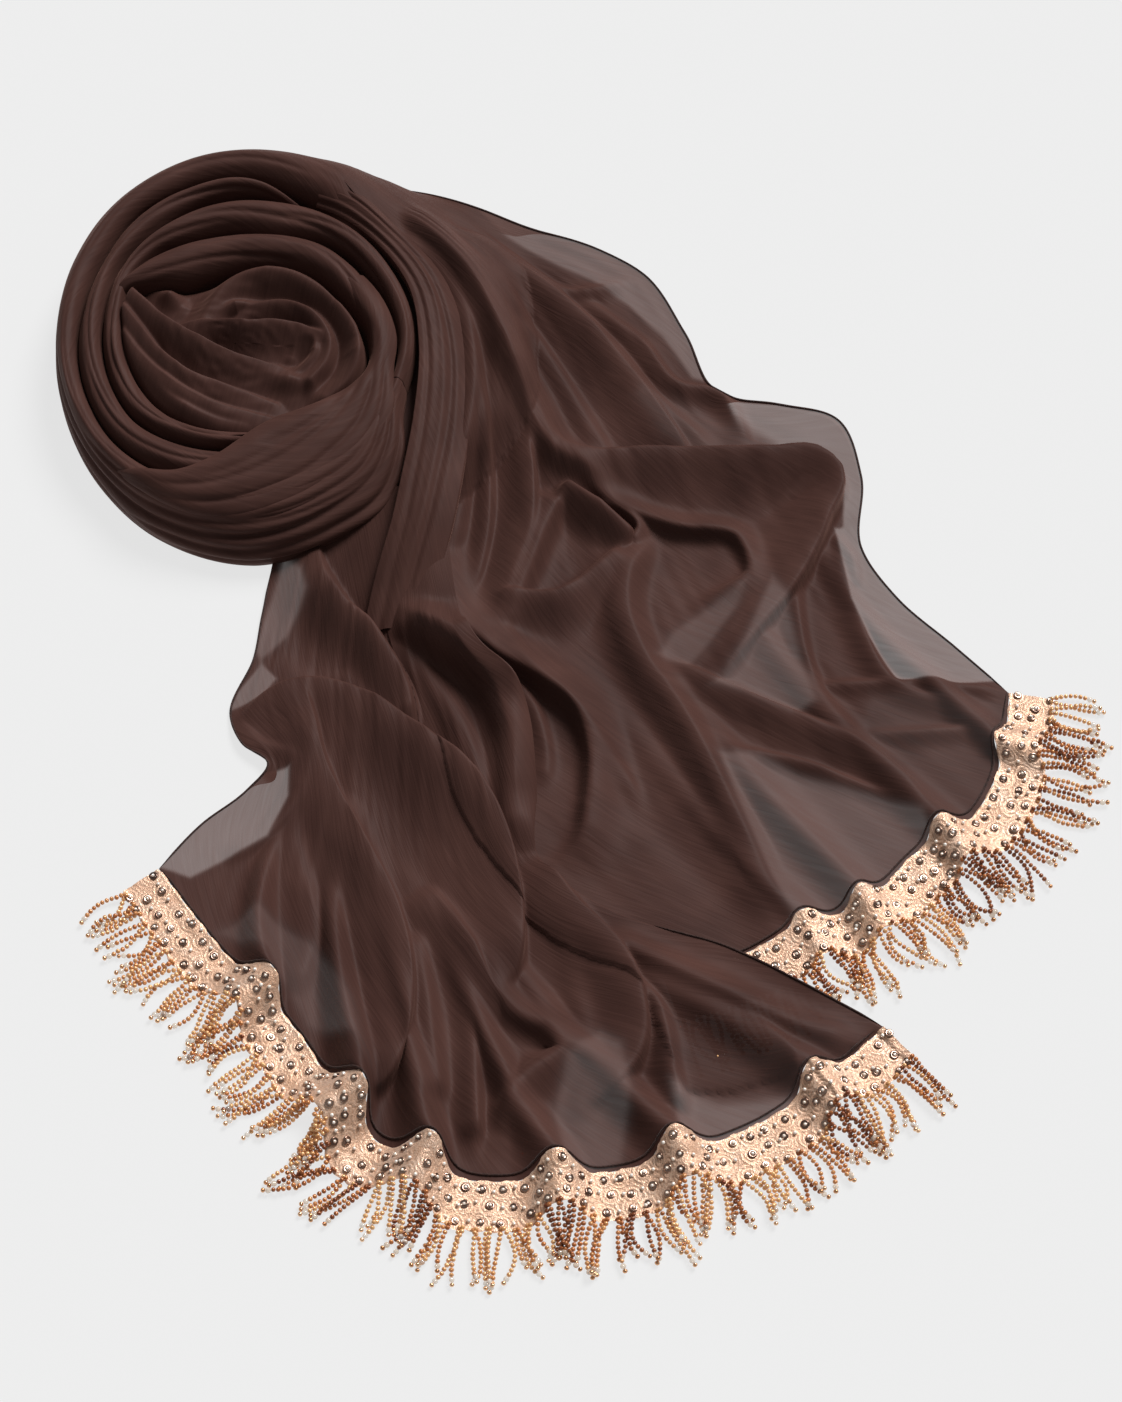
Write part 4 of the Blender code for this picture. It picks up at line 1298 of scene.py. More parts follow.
@dataclass
class Trim:
    """The embroidered net band along a hem, with cords round its sites, sequins and pearls."""

    name: str
    end: End
    cloth: Sheet
    finishes: Finishes
    width: float = 33.0
    narrow: float = 0.84
    cell: float = 0.92
    fall: float = 0.68
    pitch: float = 14.5
    cord_pitch: float = 2.5
    cord_height: float = 0.85

    def __post_init__(self) -> None:
        """Lays out the band along the hem."""
        noise = np.random.default_rng(self.end.seed + 7)
        edge = self.cloth.points[-1]
        length = lengths_along(edge)[-1]
        self.columns = int(length / self.cell)
        self.rows = int(self.width / self.cell)
        hem = Hem(self.end.hem_points, self.end.ridges, self.columns)
        self.outward = hem.outward
        self.run = np.linspace(0.0, length, self.columns)
        run = lengths_along(edge)
        self.edge = np.stack([np.interp(self.run, run, column) for column in edge.T], axis=1)
        part = self.run / length
        self.reach = self.width * (self.narrow + (1 - self.narrow) * np.sin(math.pi * part) ** 0.5)
        sites = []
        for row, across in enumerate((0.2, 0.52, 0.83)):
            places = np.arange(self.pitch * (0.3 + 0.5 * (row % 2)), length, self.pitch)
            spread = noise.uniform(-0.3, 0.3, (len(places), 2))
            along = places + spread[:, 0] * self.pitch
            sites.append(np.stack([along, self.width * across + 6.0 * spread[:, 1]], 1))
        self.sites = np.concatenate(sites)
        self.noise = noise
        self.sheet = self.surface()

    def surface(self) -> Sheet:
        """The band with its cords raised."""
        across = np.linspace(0.0, 1.0, self.rows)[:, None]
        scallop = 1.3 * np.abs(np.sin(math.pi * self.run / 15.0)) - 0.9
        scallop_low = 1.6 * np.abs(np.sin(math.pi * self.run / 11.0))
        reach = across * self.reach[None] - (1 - across) * scallop[None] + across**4 * scallop_low[None]
        points = np.zeros((self.rows, self.columns, 3))
        points[..., :2] = self.edge[None, :, :2] + self.outward[None] * reach[..., None]
        points[..., 2] = np.maximum(self.edge[None, :, 2] * (1.0 - (1.0 - self.fall) * across), 0.4) + 0.5
        points[..., 2] += 0.6 * soft_noise(self.rows, self.columns, 4, self.columns // 14, self.end.seed + 9)
        cord = self.cords(reach)
        normal = normals_of(points)
        normal *= np.sign(normal[..., 2:])
        points = points + normal * (self.cord_height * cord)[..., None]
        return Sheet(points, np.ones(cord.shape), {"cord": cord})

    def cords(self, reach: Array) -> Array:
        """How high the cords stand at each point of the band, from 0 to 1.

        Args:
            reach: how far from the hem each point is.

        Returns:
            One height for each point.
        """
        gap = np.full(reach.shape, np.inf)
        swirl = np.zeros(reach.shape)
        for place, across in self.sites:
            near = np.abs(self.run - place) < 14.0
            aside, away = self.run[near][None] - place, reach[:, near] - across
            distance = np.hypot(aside, away)
            closer = distance < gap[:, near]
            gap[:, near] = np.where(closer, distance, gap[:, near])
            swirl[:, near] = np.where(closer, np.arctan2(away, aside), swirl[:, near])
        rings = 0.5 + 0.5 * np.cos(2 * math.pi * gap / self.cord_pitch - swirl)
        edges = np.exp(-(((reach - 1.2) / 0.9) ** 2))
        edges = np.maximum(edges, np.exp(-(((reach - self.reach[None] + 0.4) / 1.0) ** 2)))
        faded = rings * (1.0 - 0.55 * smooth_step((gap - 6.5) / 2.5))
        return np.maximum(faded, edges)

    def on_band(self, sheet: Sheet, places: Array) -> tuple[Array, Array]:
        """The point and the upward normal of the band at places along and across it.

        Args:
            sheet: the band.
            places: how far along and how far across each place is.

        Returns:
            One point and one unit normal for each place.
        """
        column = np.clip(np.searchsorted(self.run, places[:, 0]), 1, self.columns - 2)
        row = np.clip((places[:, 1] / self.reach[column] * (self.rows - 1)).astype(int), 1, self.rows - 2)
        normal = normals_of(sheet.points)
        normal *= np.sign(normal[..., 2:])
        normal = (normal[row, column] + normal[row - 1, column - 1] + normal[row + 1, column + 1]) / 3.0
        normal /= np.linalg.norm(normal, axis=1)[:, None]
        return sheet.points[row, column], normal

    def build(self) -> list[bpy.types.Object]:
        """Makes the band, its sequins and its pearls."""
        sheet = self.sheet
        band = add_sheet(self.name, sheet, self.finishes.net)
        made = [band]
        along = np.tile([[1.0, 0.0, 0.0]], (len(self.sites), 1))
        spots, normal = self.on_band(sheet, self.sites)
        square = along - (along * normal).sum(axis=1)[:, None] * normal
        square /= np.linalg.norm(square, axis=1)[:, None]
        frames = np.stack([square, np.cross(normal, square), normal], axis=1)
        size = self.noise.uniform(2.5, 3.1, (len(spots), 1)) * np.ones(3)
        rings = model_sequin().copies(spots + 0.5 * normal, frames, size)
        made.append(self.spots(f"{self.name}_sequins", rings, len(spots), self.finishes.sequin))
        bead = model_bead()
        centres = bead.copies(spots + 1.35 * normal, frames, np.full((len(spots), 3), 1.15))
        made.append(self.spots(f"{self.name}_centre_beads", centres, len(spots), self.finishes.pearl))
        between = self.sites + np.array([0.5 * self.pitch, 0.0])
        between = between[between[:, 0] < self.run[-1] - 4.0]
        between[:, 1] += self.noise.uniform(-2.0, 2.0, len(between))
        spots, normal = self.on_band(sheet, between)
        frames = frames_along(np.tile([[1.0, 0.0, 0.0]], (len(spots), 1)), normal)
        pearls = bead.copies(spots + 0.9 * normal, frames, np.full((len(spots), 3), 1.35))
        made.append(self.spots(f"{self.name}_pearls", pearls, len(spots), self.finishes.pearl))
        node = self.name.replace("_band", "_trim")
        dress(band, node)
        return made

    def spots(
        self, name: str, shape: tuple[Array, list], count: int, finish: bpy.types.Material
    ) -> bpy.types.Object:
        """An object of many small copies, with a tone for each copy.

        Args:
            name: its name.
            shape: points and faces of all copies.
            count: how many copies.
            finish: its material.

        Returns:
            The object.
        """
        made = link_mesh(name, shape[0], shape[1], finish)
        tones = np.repeat(self.noise.uniform(0.2, 1.0, count), len(shape[0]) // count)
        set_at_points(made.data, "tone", tones)
        return made


@dataclass
class Fringe:
    """The strings of beads along the outer edge of a trim."""

    name: str
    trim: Trim
    edge: Array
    finishes: Finishes
    spacing: float = 9.0
    pitch: float = 3.25
    radius: float = 1.72
    longest: float = 40.0
    in_tuft: int = 3
    bead_tone_spread: float = 0.13
    tones: list[float] = field(default_factory=list)

    def strings(self) -> list[Array]:
        """The places of all the beads, string by string, in tufts. It keeps a tone for each string."""
        noise = np.random.default_rng(self.trim.end.seed + 31)
        run = lengths_along(self.edge)
        roots = np.arange(0.5 * self.spacing, run[-1], self.spacing)
        ways = self.trim.outward
        hem = Hem(self.trim.end.hem_points, self.trim.end.ridges, len(self.edge))
        strings = []
        for number, root in enumerate(roots):
            if number % self.in_tuft == 0:
                centre = root + self.spacing * noise.uniform(0.2, self.in_tuft - 1.2)
                drawn = noise.uniform(0.0, 0.85)
                stretch = noise.uniform(0.82, 1.06)
                shade = noise.beta(1.6, 1.3)
            start = np.array([np.interp(root, run, column) for column in self.edge.T])
            way = np.array([np.interp(root, run, column) for column in ways.T])
            way /= np.linalg.norm(way)
            along = np.array([-way[1], way[0]])
            draw, crowd = 0.0, 0.0
            for ridge in hem.ridges:
                offset = (root - ridge.along * run[-1]) / ridge.width
                draw += -0.9 * offset * ridge.width * math.exp(-(offset**2) / 3.0)
                crowd = max(crowd, math.exp(-(offset**2)))
            draw += drawn * (centre - root) * (1.0 - crowd)
            for side in (-1.0, 1.0):
                length = self.longest * stretch * noise.uniform(0.8, 1.12)
                sway = draw + noise.uniform(-7.5, 7.5)
                bow = noise.uniform(-8.0, 8.0)
                strings.append(self.string(start, way, along, side, length, sway, bow))
                # Strings near a ridge, where they bunch, get a darker tone: painted shade among the bunched
                # strings
                tone = shade + noise.normal(0.0, 0.2) - 0.25 * crowd
                self.tones.append(float(np.clip(tone, 0.05, 0.9)))
        return strings

    def string(
        self, start: Array, way: Array, along: Array, side: float, length: float, sway: float, bow: float
    ) -> Array:
        """The beads of one string, from its root on the trim to its tip on the table.

        Args:
            start: the root.
            way: the outward direction there.
            along: the direction along the trim.
            side: -1 or 1, for the two strings of a root.
            length: its length.
            sway: how far its tip is drawn aside.
            bow: how far its middle is.

        Returns:
            One place for each bead.
        """
        part = np.linspace(0.0, 1.0, 40)
        reach = length * part - 1.5
        aside = side * (0.9 + 2.2 * part) + sway * part**1.2 + bow * np.sin(math.pi * part)
        line = np.zeros((len(part), 3))
        line[:, :2] = start[:2] + reach[:, None] * way + aside[:, None] * along
        drop = np.exp(-((part * length / 11.0) ** 1.6))
        line[:, 2] = self.radius + 0.2 + max(start[2] - self.radius, 0.0) * drop + (1.3 if side > 0 else 0.0)
        run = lengths_along(line)
        places = np.arange(0.0, run[-1], self.pitch)
        return np.stack([np.interp(places, run, column) for column in line.T], axis=1)

    def settled(self, strings: list[Array]) -> list[Array]:
        """The same beads after those that overlap have pushed each other apart.

        Args:
            strings: the places of the beads, string by string.

        Returns:
            The new places, in the same order.
        """
        counts = [len(string) for string in strings]
        beads = np.concatenate(strings)
        owner = np.repeat(np.arange(len(strings)), counts)
        fixed = np.concatenate([np.arange(count) < 1 for count in counts])
        least = 1.9 * self.radius
        for _ in range(14):
            order = np.argsort(beads[:, 0])
            push = np.zeros_like(beads)
            ranked = beads[order]
            for step in range(1, 60):
                gap = ranked[step:] - ranked[:-step]
                distance = np.linalg.norm(gap, axis=1)
                apart = (owner[order[step:]] != owner[order[:-step]]) & (distance < least)
                close = np.where(apart, 0.25 * (least - distance) / np.maximum(distance, 0.2), 0.0)
                amount = close[:, None] * gap
                np.add.at(push, order[step:], amount)
                np.add.at(push, order[:-step], -amount)
            push[:, 2] = np.where(push[:, 2] < 0, 0.4, 1.2) * push[:, 2]
            beads = beads + np.where(fixed[:, None], 0.0, np.clip(push, -0.8, 0.8))
            beads[:, 2] = np.clip(beads[:, 2], 1.2 * self.radius + 0.05, 14.0 + self.radius)
            joint = beads.copy()
            same = (owner[1:] == owner[:-1])[:, None]
            leg = beads[1:] - beads[:-1]
            length = np.linalg.norm(leg, axis=1)[:, None]
            fix = np.where(same, 0.5 * (length - self.pitch) / np.maximum(length, 0.1), 0.0) * leg
            joint[1:] -= 0.6 * fix
            joint[:-1] += 0.3 * fix
            beads = np.where(fixed[:, None], beads, joint)
        return np.split(beads, np.cumsum(counts)[:-1])

    def build(self) -> list[bpy.types.Object]:
        """Makes the seed beads, the clear beads and the gold beads."""
        strings = self.settled(self.strings())
        places = {"seed_beads": [], "clear_beads": [], "gold_beads": []}
        for string, tone in zip(strings, self.tones):
            ahead = np.gradient(string, axis=0)
            rows = np.hstack([string, ahead, np.full((len(string), 1), tone)])
            places["seed_beads"].append(rows[:-2])
            places["clear_beads"].append(rows[-2:-1])
            places["gold_beads"].append(rows[-1:])
        made = []
        looks = {
            "seed_beads": (self.finishes.seed, (1.0, 0.97, 1.0)),
            "clear_beads": (self.finishes.clear, (1.15, 1.2, 1.15)),
            "gold_beads": (self.finishes.gold, (1.0, 0.9, 1.0)),
        }
        bead = model_bead()
        for key, rows in places.items():
            finish, size = looks[key]
            made.append(self.beads(f"{self.name}_{key}", np.concatenate(rows), finish, size, bead))
        return made

    def beads(
        self, name: str, rows: Array, finish: bpy.types.Material, size: tuple[float, ...], bead: Template
    ) -> bpy.types.Object:
        """An object of all the beads of one kind, with a tone for each.

        Args:
            name: its name.
            rows: place, direction and tone of each bead.
            finish: its material.
            size: how wide and how long a bead is, as shares of the seed bead.
            bead: its shape.

        Returns:
            The object.
        """
        noise = np.random.default_rng(len(rows))
        ahead = rows[:, 3:6] / np.maximum(np.linalg.norm(rows[:, 3:6], axis=1), TINY)[:, None]
        frames = frames_along(ahead, np.tile([[0.0, 0.0, 1.0]], (len(rows), 1)))
        turned = np.stack([frames[:, 0], -frames[:, 2], frames[:, 1]], axis=1)
        scales = self.radius * np.array(size)[[0, 2, 1]] * noise.uniform(0.93, 1.05, (len(rows), 1))
        points, faces = bead.copies(rows[:, :3], turned, scales)
        made = link_mesh(name, points, faces, finish)
        tones = np.clip(rows[:, 6] + noise.normal(0.0, self.bead_tone_spread, len(rows)), 0.0, 1.0)
        set_at_points(made.data, "tone", np.repeat(tones, len(bead.points)))
        return made


# ---- the hijab's own sizes ----

TURN_LEG = CORE_TOP
# Where round the rosette the rear end leaves the outer turn
REAR_ROOT_ANGLE = 61.5

OUTER_TURN = Turn(
    "outer_turn",
    (
        (46, 112, 140, 170, 44, 30),
        (60, 128, 151, 181, 57, 20),
        (75, 137, 156, 180, 57, 8),
        (90, 143, 160, 178, 56, 0),
        (120, 138, 149, 165, 53, 0),
        (145, 122, 134, 148, 48, 0),
        (170, 113, 123, 132, 45, 0),
        (200, 109, 118, 125, 43, 0),
        (225, 111, 118, 130, 43, 0),
        (250, 112, 119, 143, 44, 0),
        (275, 110, 117, 156, 46, 0),
        (298, 111, 117, 160, 48, 8),
        (313, 111, 117.5, 161, 49, 15),
        (325, 112, 118, 147, 51, 25),
        (335, 112, 118, 130, 52, TURN_LEG),
        (344, 112, 118, 124, 53, TURN_LEG),
    ),
    (
        Crease((62, 205), (0.60, 0.50), 2.6, 2.4),
        Crease((74, 330), (0.72, 0.62), 3.0, 2.6),
        Crease((96, 250), (0.82, 0.88), 2.4, 2.6),
        Crease((130, 330), (0.46, 0.56), 1.8, 2.2),
        Crease((205, 332), (0.40, 0.36), 2.2, 2.4),
        Crease((236, 340), (0.80, 0.72), 3.2, 2.8),
        Crease((252, 342), (0.92, 0.86), 2.6, 2.6),
        Crease((262, 343), (0.66, 0.54), 2.2, 2.0),
        Crease((270, 340), (0.50, 0.44), 2.6, 2.2),
        Crease((66, 150), (0.34, 0.30), 1.2, 1.8),
        Crease((150, 250), (0.30, 0.24), 1.0, 1.8),
        Crease((80, 180), (0.90, 0.80), 1.8, 2.2),
    ),
    steps=400,
    count=76,
    seed=3,
)
SECOND_TURN = Turn(
    "second_turn",
    (
        (71, 127.2, 129.3, 131.3, 40, TURN_LEG),
        (84, 128, 133.5, 138.5, 57, TURN_LEG),
        (108, 121, 131, 139, 57, TURN_LEG),
        (124, 114, 124, 134, 55, TURN_LEG),
        (141, 108, 115, 122, 53, TURN_LEG),
        (160, 99, 107, 114, 51, TURN_LEG),
        (181, 93, 101, 109.5, 49, TURN_LEG),
        (203, 90, 99, 107.5, 48, TURN_LEG),
        (222, 90, 100, 109, 48, TURN_LEG),
        (245, 87, 99, 110, 49, TURN_LEG),
        (272, 86, 97, 108, 50, TURN_LEG),
        (300, 91, 101, 110, 52, TURN_LEG),
        (330, 96, 104, 111, 54, TURN_LEG),
        (352, 97, 104, 111, 56, TURN_LEG),
    ),
    (
        Crease((74, 170), (0.35, 0.62), 2.0, 1.8),
        Crease((95, 230), (0.70, 0.42), 1.8, 1.8),
        Crease((180, 300), (0.62, 0.50), 1.6, 1.8),
        Crease((215, 345), (0.30, 0.66), 2.0, 1.8),
        Crease((250, 350), (0.78, 0.56), 1.8, 1.7),
    ),
    steps=360,
    count=48,
    seed=4,
)
THIRD_TURN = Turn(
    "third_turn",
    (
        (-15.7, 112, 118, 124, 53, TURN_LEG),
        (0, 112.5, 119, 125.5, 55, TURN_LEG),
        (29, 108, 117, 126, 58, TURN_LEG),
        (50, 105, 117, 126.5, 60, TURN_LEG),
        (78, 94, 112, 126, 60, TURN_LEG),
        (95, 95, 110, 123.5, 60, TURN_LEG),
        (112, 94, 107, 118, 59, TURN_LEG),
        (129, 96, 104, 111, 57, TURN_LEG),
        (144, 92, 99, 105.5, 55, TURN_LEG),
        (161, 83, 91, 98, 53, TURN_LEG),
        (184, 76, 84, 91.5, 51, TURN_LEG),
        (222, 72, 81, 88.5, 49, TURN_LEG),
        (250, 71, 78, 85, 50, TURN_LEG),
        (280, 73, 79, 84, 51, TURN_LEG),
        (308, 82, 86, 90, 44, TURN_LEG),
    ),
    (
        Crease((-14, 80), (0.62, 0.45), 2.0, 1.8),
        Crease((10, 120), (0.30, 0.52), 1.8, 1.8),
        Crease((45, 150), (0.72, 0.60), 2.2, 2.0),
        Crease((90, 200), (0.36, 0.60), 1.8, 1.8),
        Crease((170, 290), (0.60, 0.42), 1.8, 1.8),
        Crease((200, 305), (0.32, 0.62), 1.6, 1.7),
    ),
    steps=380,
    count=48,
    seed=5,
)
INNER_TURN = Turn(
    "inner_turn",
    (
        (-7.7, 97, 104, 111, 55, TURN_LEG),
        (20, 84, 96, 107, 58, TURN_LEG),
        (50, 76, 91, 104, 61, TURN_LEG),
        (80, 66, 82, 96, 61, TURN_LEG),
        (110, 62, 80, 95, 60, TURN_LEG),
        (128, 66, 83, 97, 59, TURN_LEG),
        (141, 78, 89, 98, 57, TURN_LEG),
        (150, 88, 94, 98, 54, TURN_LEG),
        (158, 91, 93, 95, 42, TURN_LEG),
    ),
    (
        Crease((-6, 90), (0.40, 0.62), 2.2, 2.0),
        Crease((15, 120), (0.70, 0.52), 1.6, 1.8),
        Crease((50, 150), (0.30, 0.44), 1.6, 2.2),
        Crease((70, 156), (0.60, 0.74), 1.4, 1.8),
    ),
    steps=280,
    count=56,
    seed=6,
)
# The sheet that lies over the lower side of the rosette, from its crisp inner edge outwards
LIP_TURN = Turn(
    "lower_lip",
    (
        (232, 121, 123, 126, 38, 30),
        (240, 115, 120, 129, 47, 33),
        (251, 108, 115, 133, 51, 32),
        (262, 95, 103, 136, 54, 30),
        (274, 80, 89, 138, 56, 29),
        (290, 69, 79, 138, 57, 30),
        (308, 71, 81, 134, 58, 34),
        (322, 78, 88, 130, 58, 38),
        (334, 86, 96, 124, 58, 46),
        (347, 93, 102, 114, 58.5, 48),
        (362, 92, 101, 112, 59, 48),
        (377, 86, 96, 108, 59.5, 48),
        (392, 82, 93, 104, 58, 47),
    ),
    (
        Crease((240, 350), (0.62, 0.44), 1.6, 2.4),
        Crease((246, 352), (0.78, 0.60), 2.0, 2.2),
        Crease((256, 340), (0.52, 0.36), 1.2, 3.0),
        Crease((262, 356), (0.90, 0.74), 1.8, 2.0),
        Crease((280, 330), (0.40, 0.46), 1.0, 3.0),
    ),
    steps=300,
    count=56,
    seed=8,
)
HEART_RIM = (
    (0, 92, 10),
    (20, 82, 10),
    (50, 74, 10),
    (80, 64, 10),
    (110, 60, 10),
    (128, 66, 10),
    (142, 84, 10),
    (155, 90, 10),
    (170, 84, 10),
    (200, 76, 10),
    (222, 74, 10),
    (250, 74, 10),
    (280, 76, 10),
    (308, 84, 10),
    (322, 92, 10),
    (340, 97, 10),
    (360, 92, 10),
)
CORE_RIM = (
    (0, 192, 60),
    (25, 192, 60),
    (45, 174, 36),
    (62, 160, 22),
    (80, 150, 8),
    (95, 155, 8),
    (120, 148, 8),
    (145, 134, 8),
    (180, 122, 8),
    (225, 122, 8),
    (270, 124, 8),
    (300, 129, 8),
    (312, 149, 14),
    (322, 161, 22),
    (336, 174, 38),
    (360, 192, 60),
)
HEART_FOLDS = (
    Fold("far petal", (8, 24, 20), (10, 15), 0.0,
         around((176, 40), (150, 30), (125, 34), (100, 46), (80, 56), (60, 64), (40, 70), (20, 78), (5, 84))),
    Fold("right fall", (20, 23, 12), (6, 14), 0.0,
         around((20, 78), (5, 84), (350, 88), (338, 86), (326, 80))),
    Fold("hooked petal", (8, 21, 14), (6, 12), 0.0,
         around((98, 20), (72, 32), (50, 44), (29, 54), (12, 62), (0, 66), (346, 66), (330, 62))),
    Fold("inner hook", (4, 15, 8), (8, 9), 0.0,
         around((140, 18), (120, 28), (94, 32), (70, 35), (50, 42))),
    Fold("middle petal", (8, 23, 16), (4, 15), 0.0,
         around((164, 52), (150, 34), (128, 20), (60, 14), (28, 30), (14, 48), (6, 58))),
    Fold("heart swirl", (6, 15, 5), (6, 8), 0.0,
         around((318, 44), (336, 50), (352, 56), (4, 54), (6, 44), (350, 40))),
    Fold("left petal", (20, 24, 8), (4, 18), 0.0,
         around((147, 93), (151, 82), (154, 70), (160, 56), (167, 42), (184, 24), (262, 12), (316, 24),
                (328, 40), (324, 54))),
    Fold("low left petal", (18, 22, 6), (4, 17), 0.0,
         around((158, 88), (164, 76), (176, 62), (192, 52), (220, 42), (252, 36), (284, 42), (300, 54))),
    Fold("bottom petal", (14, 18, 5), (4, 15), 0.0,
         around((172, 80), (186, 68), (206, 58), (234, 52), (262, 52), (284, 58), (296, 66))),
    Fold("under petal", (5, 13, 5), (5, 9), 0.0, around((200, 68), (228, 62), (256, 62), (278, 66))),
    Fold("left hang", (5, 13, 4), (6, 9), 0.0, around((140, 74), (138, 64), (137, 54))),
    Fold("petal end", (10, 14, 10), (11, 11), 0.0, around((314, 36), (322, 48), (328, 60))),
)

SHOULDER = Shoulder(
    left=((-178, 372, 44), (-165, 364, 47), (-133, 335.5, 50), (-110.5, 298, 52), (-102.5, 250, 51),
          (-105, 196, 47), (-113, 146, 41), (-120, 111.5, 34), (-126, 92, 27), (-133, 66, 16), (-138, 44, 6)),
    right=((-172, 390, 53), (-155, 382, 55), (-121, 352, 50), (-88, 314, 44), (-69, 250, 40), (-67, 190, 37),
           (-72, 145, 36), (-78, 112, 31), (-83, 92, 25), (-90, 66, 15), (-97, 44, 6)),
    creases=((0.16, 0.08, 2.8, 0.07), (0.72, -0.16, 2.6, 0.08), (0.44, -0.1, 1.2, 0.1)),
)

# Where the front end comes out below the rosette
FRONT_ROOT = ((-199, 112, 4), (-174, 126, 11), (-150, 142, 20), (-126, 146, 28), (-102, 140, 34),
              (-82, 130, 29))
FRONT_END = End(
    name="front",
    top=((-198, 96, 3), (-168, 106, 5), (-142, 116, 8), (-119, 110.5, 32), (-98, 112.5, 38),
         (-80, 113.5, 30)),
    hem_points=((-267, -135), (-224, -193), (-171, -254), (-126, -323), (-77, -351), (0, -352), (70, -338),
                (150, -297), (202, -250)),
    left=((-198, 96), (-206, 63), (-211, 25), (-225, -20), (-216, -43), (-198, -59), (-211, -76),
          (-240, -101), (-267, -135)),
    right=((-80, 113.5), (-78, 84), (-64, 28), (-30, -14), (-20, -76), (-18, -131), (26, -166), (104, -195),
           (170, -232), (202, -250)),
    ridges=(
        Ridge(0.185, 13, 18, 15),
        Ridge(0.35, 18, 24, 17),
        Ridge(0.46, 18, 20, 15),
        Ridge(0.605, 14, 16, 14),
        Ridge(0.735, 14, 17, 14),
        Ridge(0.905, 12, 14, 14),
    ),
    folds=(
        Fold("edge from the rosette", (14, 22, 12), (9, 16), 0.4,
             ((-178, 113), (-174, 79), (-160, 60), (-137, 34), (-114, -5), (-109, -36))),
        Fold("right edge", (20, 20, 12), (8, 20), -0.4,
             ((-116, 60), (-75, 38), (-47, 17), (-31, -30), (-28, -83), (-24, -127))),
        Fold("bell", (8, 22, 15), (7, 26), 0.5,
             ((-218, -28), (-198, -10), (-178, -3), (-142, -13), (-111, -38), (-62, -89), (-41, -148),
              (-37, -195), (-40, -225))),
        Fold("left panel", (14, 16, 18), (6, 26), 0.4,
             ((-179, 1), (-166, -61), (-140, -117), (-116, -169), (-107, -208), (-108, -254), (-118, -284),
              (-133, -301))),
        Fold("tip", (4, 8, 3), (7, 9), 0.3, ((-222, -24), (-209, -41), (-182, -60), (-181, -83), (-195, -106),
                                            (-227, -128))),
        Fold("centre", (4, 9, 11), (9, 12), 0.4, ((-100, -180), (-96, -213), (-91, -257), (-85, -303))),
        Fold("diagonal", (4, 12, 6), (8, 16), 0.4, ((-96, -149), (-71, -184), (-50, -222), (-33, -241))),
        Fold("swirl", (4, 13, 14), (10, 12), -0.4,
             ((-81, -163), (-54, -203), (-27, -239), (-8, -249), (2, -267), (-24, -293), (-40, -326))),
        Fold("inner edge", (10, 18, 10), (7, 24), 0.4,
             ((-22, -130), (1, -167), (30, -204), (43, -240), (43, -262), (30, -286), (10, -304))),
        Fold("to fifth ridge", (5, 11, 14), (7, 8), 0.3, ((40, -215), (56, -241), (62, -275), (69, -312))),
        Fold("right roll", (10, 12, 7), (14, 7), 0.3,
             ((21, -189), (60, -212), (105, -236), (163, -260), (185, -262))),
        Fold("to sixth ridge", (5, 9, 12), (7, 8), 0.3, ((105, -236), (137, -272), (148, -290))),
        Fold("bell shelf", (3, 7, 4), (8, 12), 0.3, ((-150, 20), (-138, -8), (-120, -40), (-96, -70))),
        Fold("inner fall", (4, 9, 5), (8, 14), -0.3,
             ((-128, 40), (-104, 22), (-78, -12), (-58, -60), (-48, -110))),
        Fold("lower fall", (3, 6, 3), (8, 11), 0.3, ((-150, -80), (-132, -130), (-118, -190), (-116, -240))),
        Fold("left fall", (3, 6, 5), (9, 12), 0.2, ((-186, -80), (-176, -130), (-166, -190), (-178, -226))),
        Fold("low right fall", (2, 5, 5), (8, 10), -0.2, ((-10, -170), (4, -214), (14, -262), (8, -316))),
        Fold("fall to the third ridge", (3, 7, 14), (6, 8), 0.3, ((-66, -220), (-62, -262), (-60, -330))),
        Fold("fine fall", (2, 4, 2), (4, 5), 0.2, ((-80, -40), (-66, -90), (-60, -150))),
        Fold("fine left fall", (2, 4, 2), (4, 5), 0.2, ((-206, -20), (-190, -30), (-170, -50), (-158, -90))),
    ),
    windows=(
        Window("bulge", 1.85, 12.0, ((-194, 93), (-207, 63), (-215, 31), (-207, 17), (-187, 39), (-173, 71),
                                   (-177, 83))),
        Window("tip", 1.6, 6.0, ((-206, 23), (-222, 0), (-230, -20), (-204, -8), (-193, 8))),
        Window("low left flap", 1.28, 7.0, ((-182, -60), (-210, -66), (-244, -92), (-272, -134), (-246, -144),
                                           (-217, -127), (-195, -114), (-182, -84))),
        Window("right panel", 3.6, 16.0, ((57, -193), (98, -190), (149, -223), (190, -248), (196, -268),
                                          (170, -290), (150, -300), (121, -318), (83, -330), (66, -302),
                                          (60, -261))),
        Window("low right panel", 1.75, 14.0, ((62, -286), (96, -300), (140, -296), (160, -300), (140, -318),
                                               (110, -332), (80, -340), (66, -325))),
        Window("centre", 2.2, 18.0, ((-5, -268), (21, -247), (39, -261), (46, -295), (39, -345), (20, -360),
                                     (-5, -350), (-14, -309))),
        Window("low left", 2.5, 18.0, ((-238, -182), (-197, -203), (-170, -253), (-138, -267), (-118, -295),
                                       (-133, -232), (-160, -189), (-200, -160))),
    ),
    coarse=(26, 41),
    fine=(230, 300),
    dense=6.5,
    edges_from=(0.06, 0.68),
    seed=23,
)
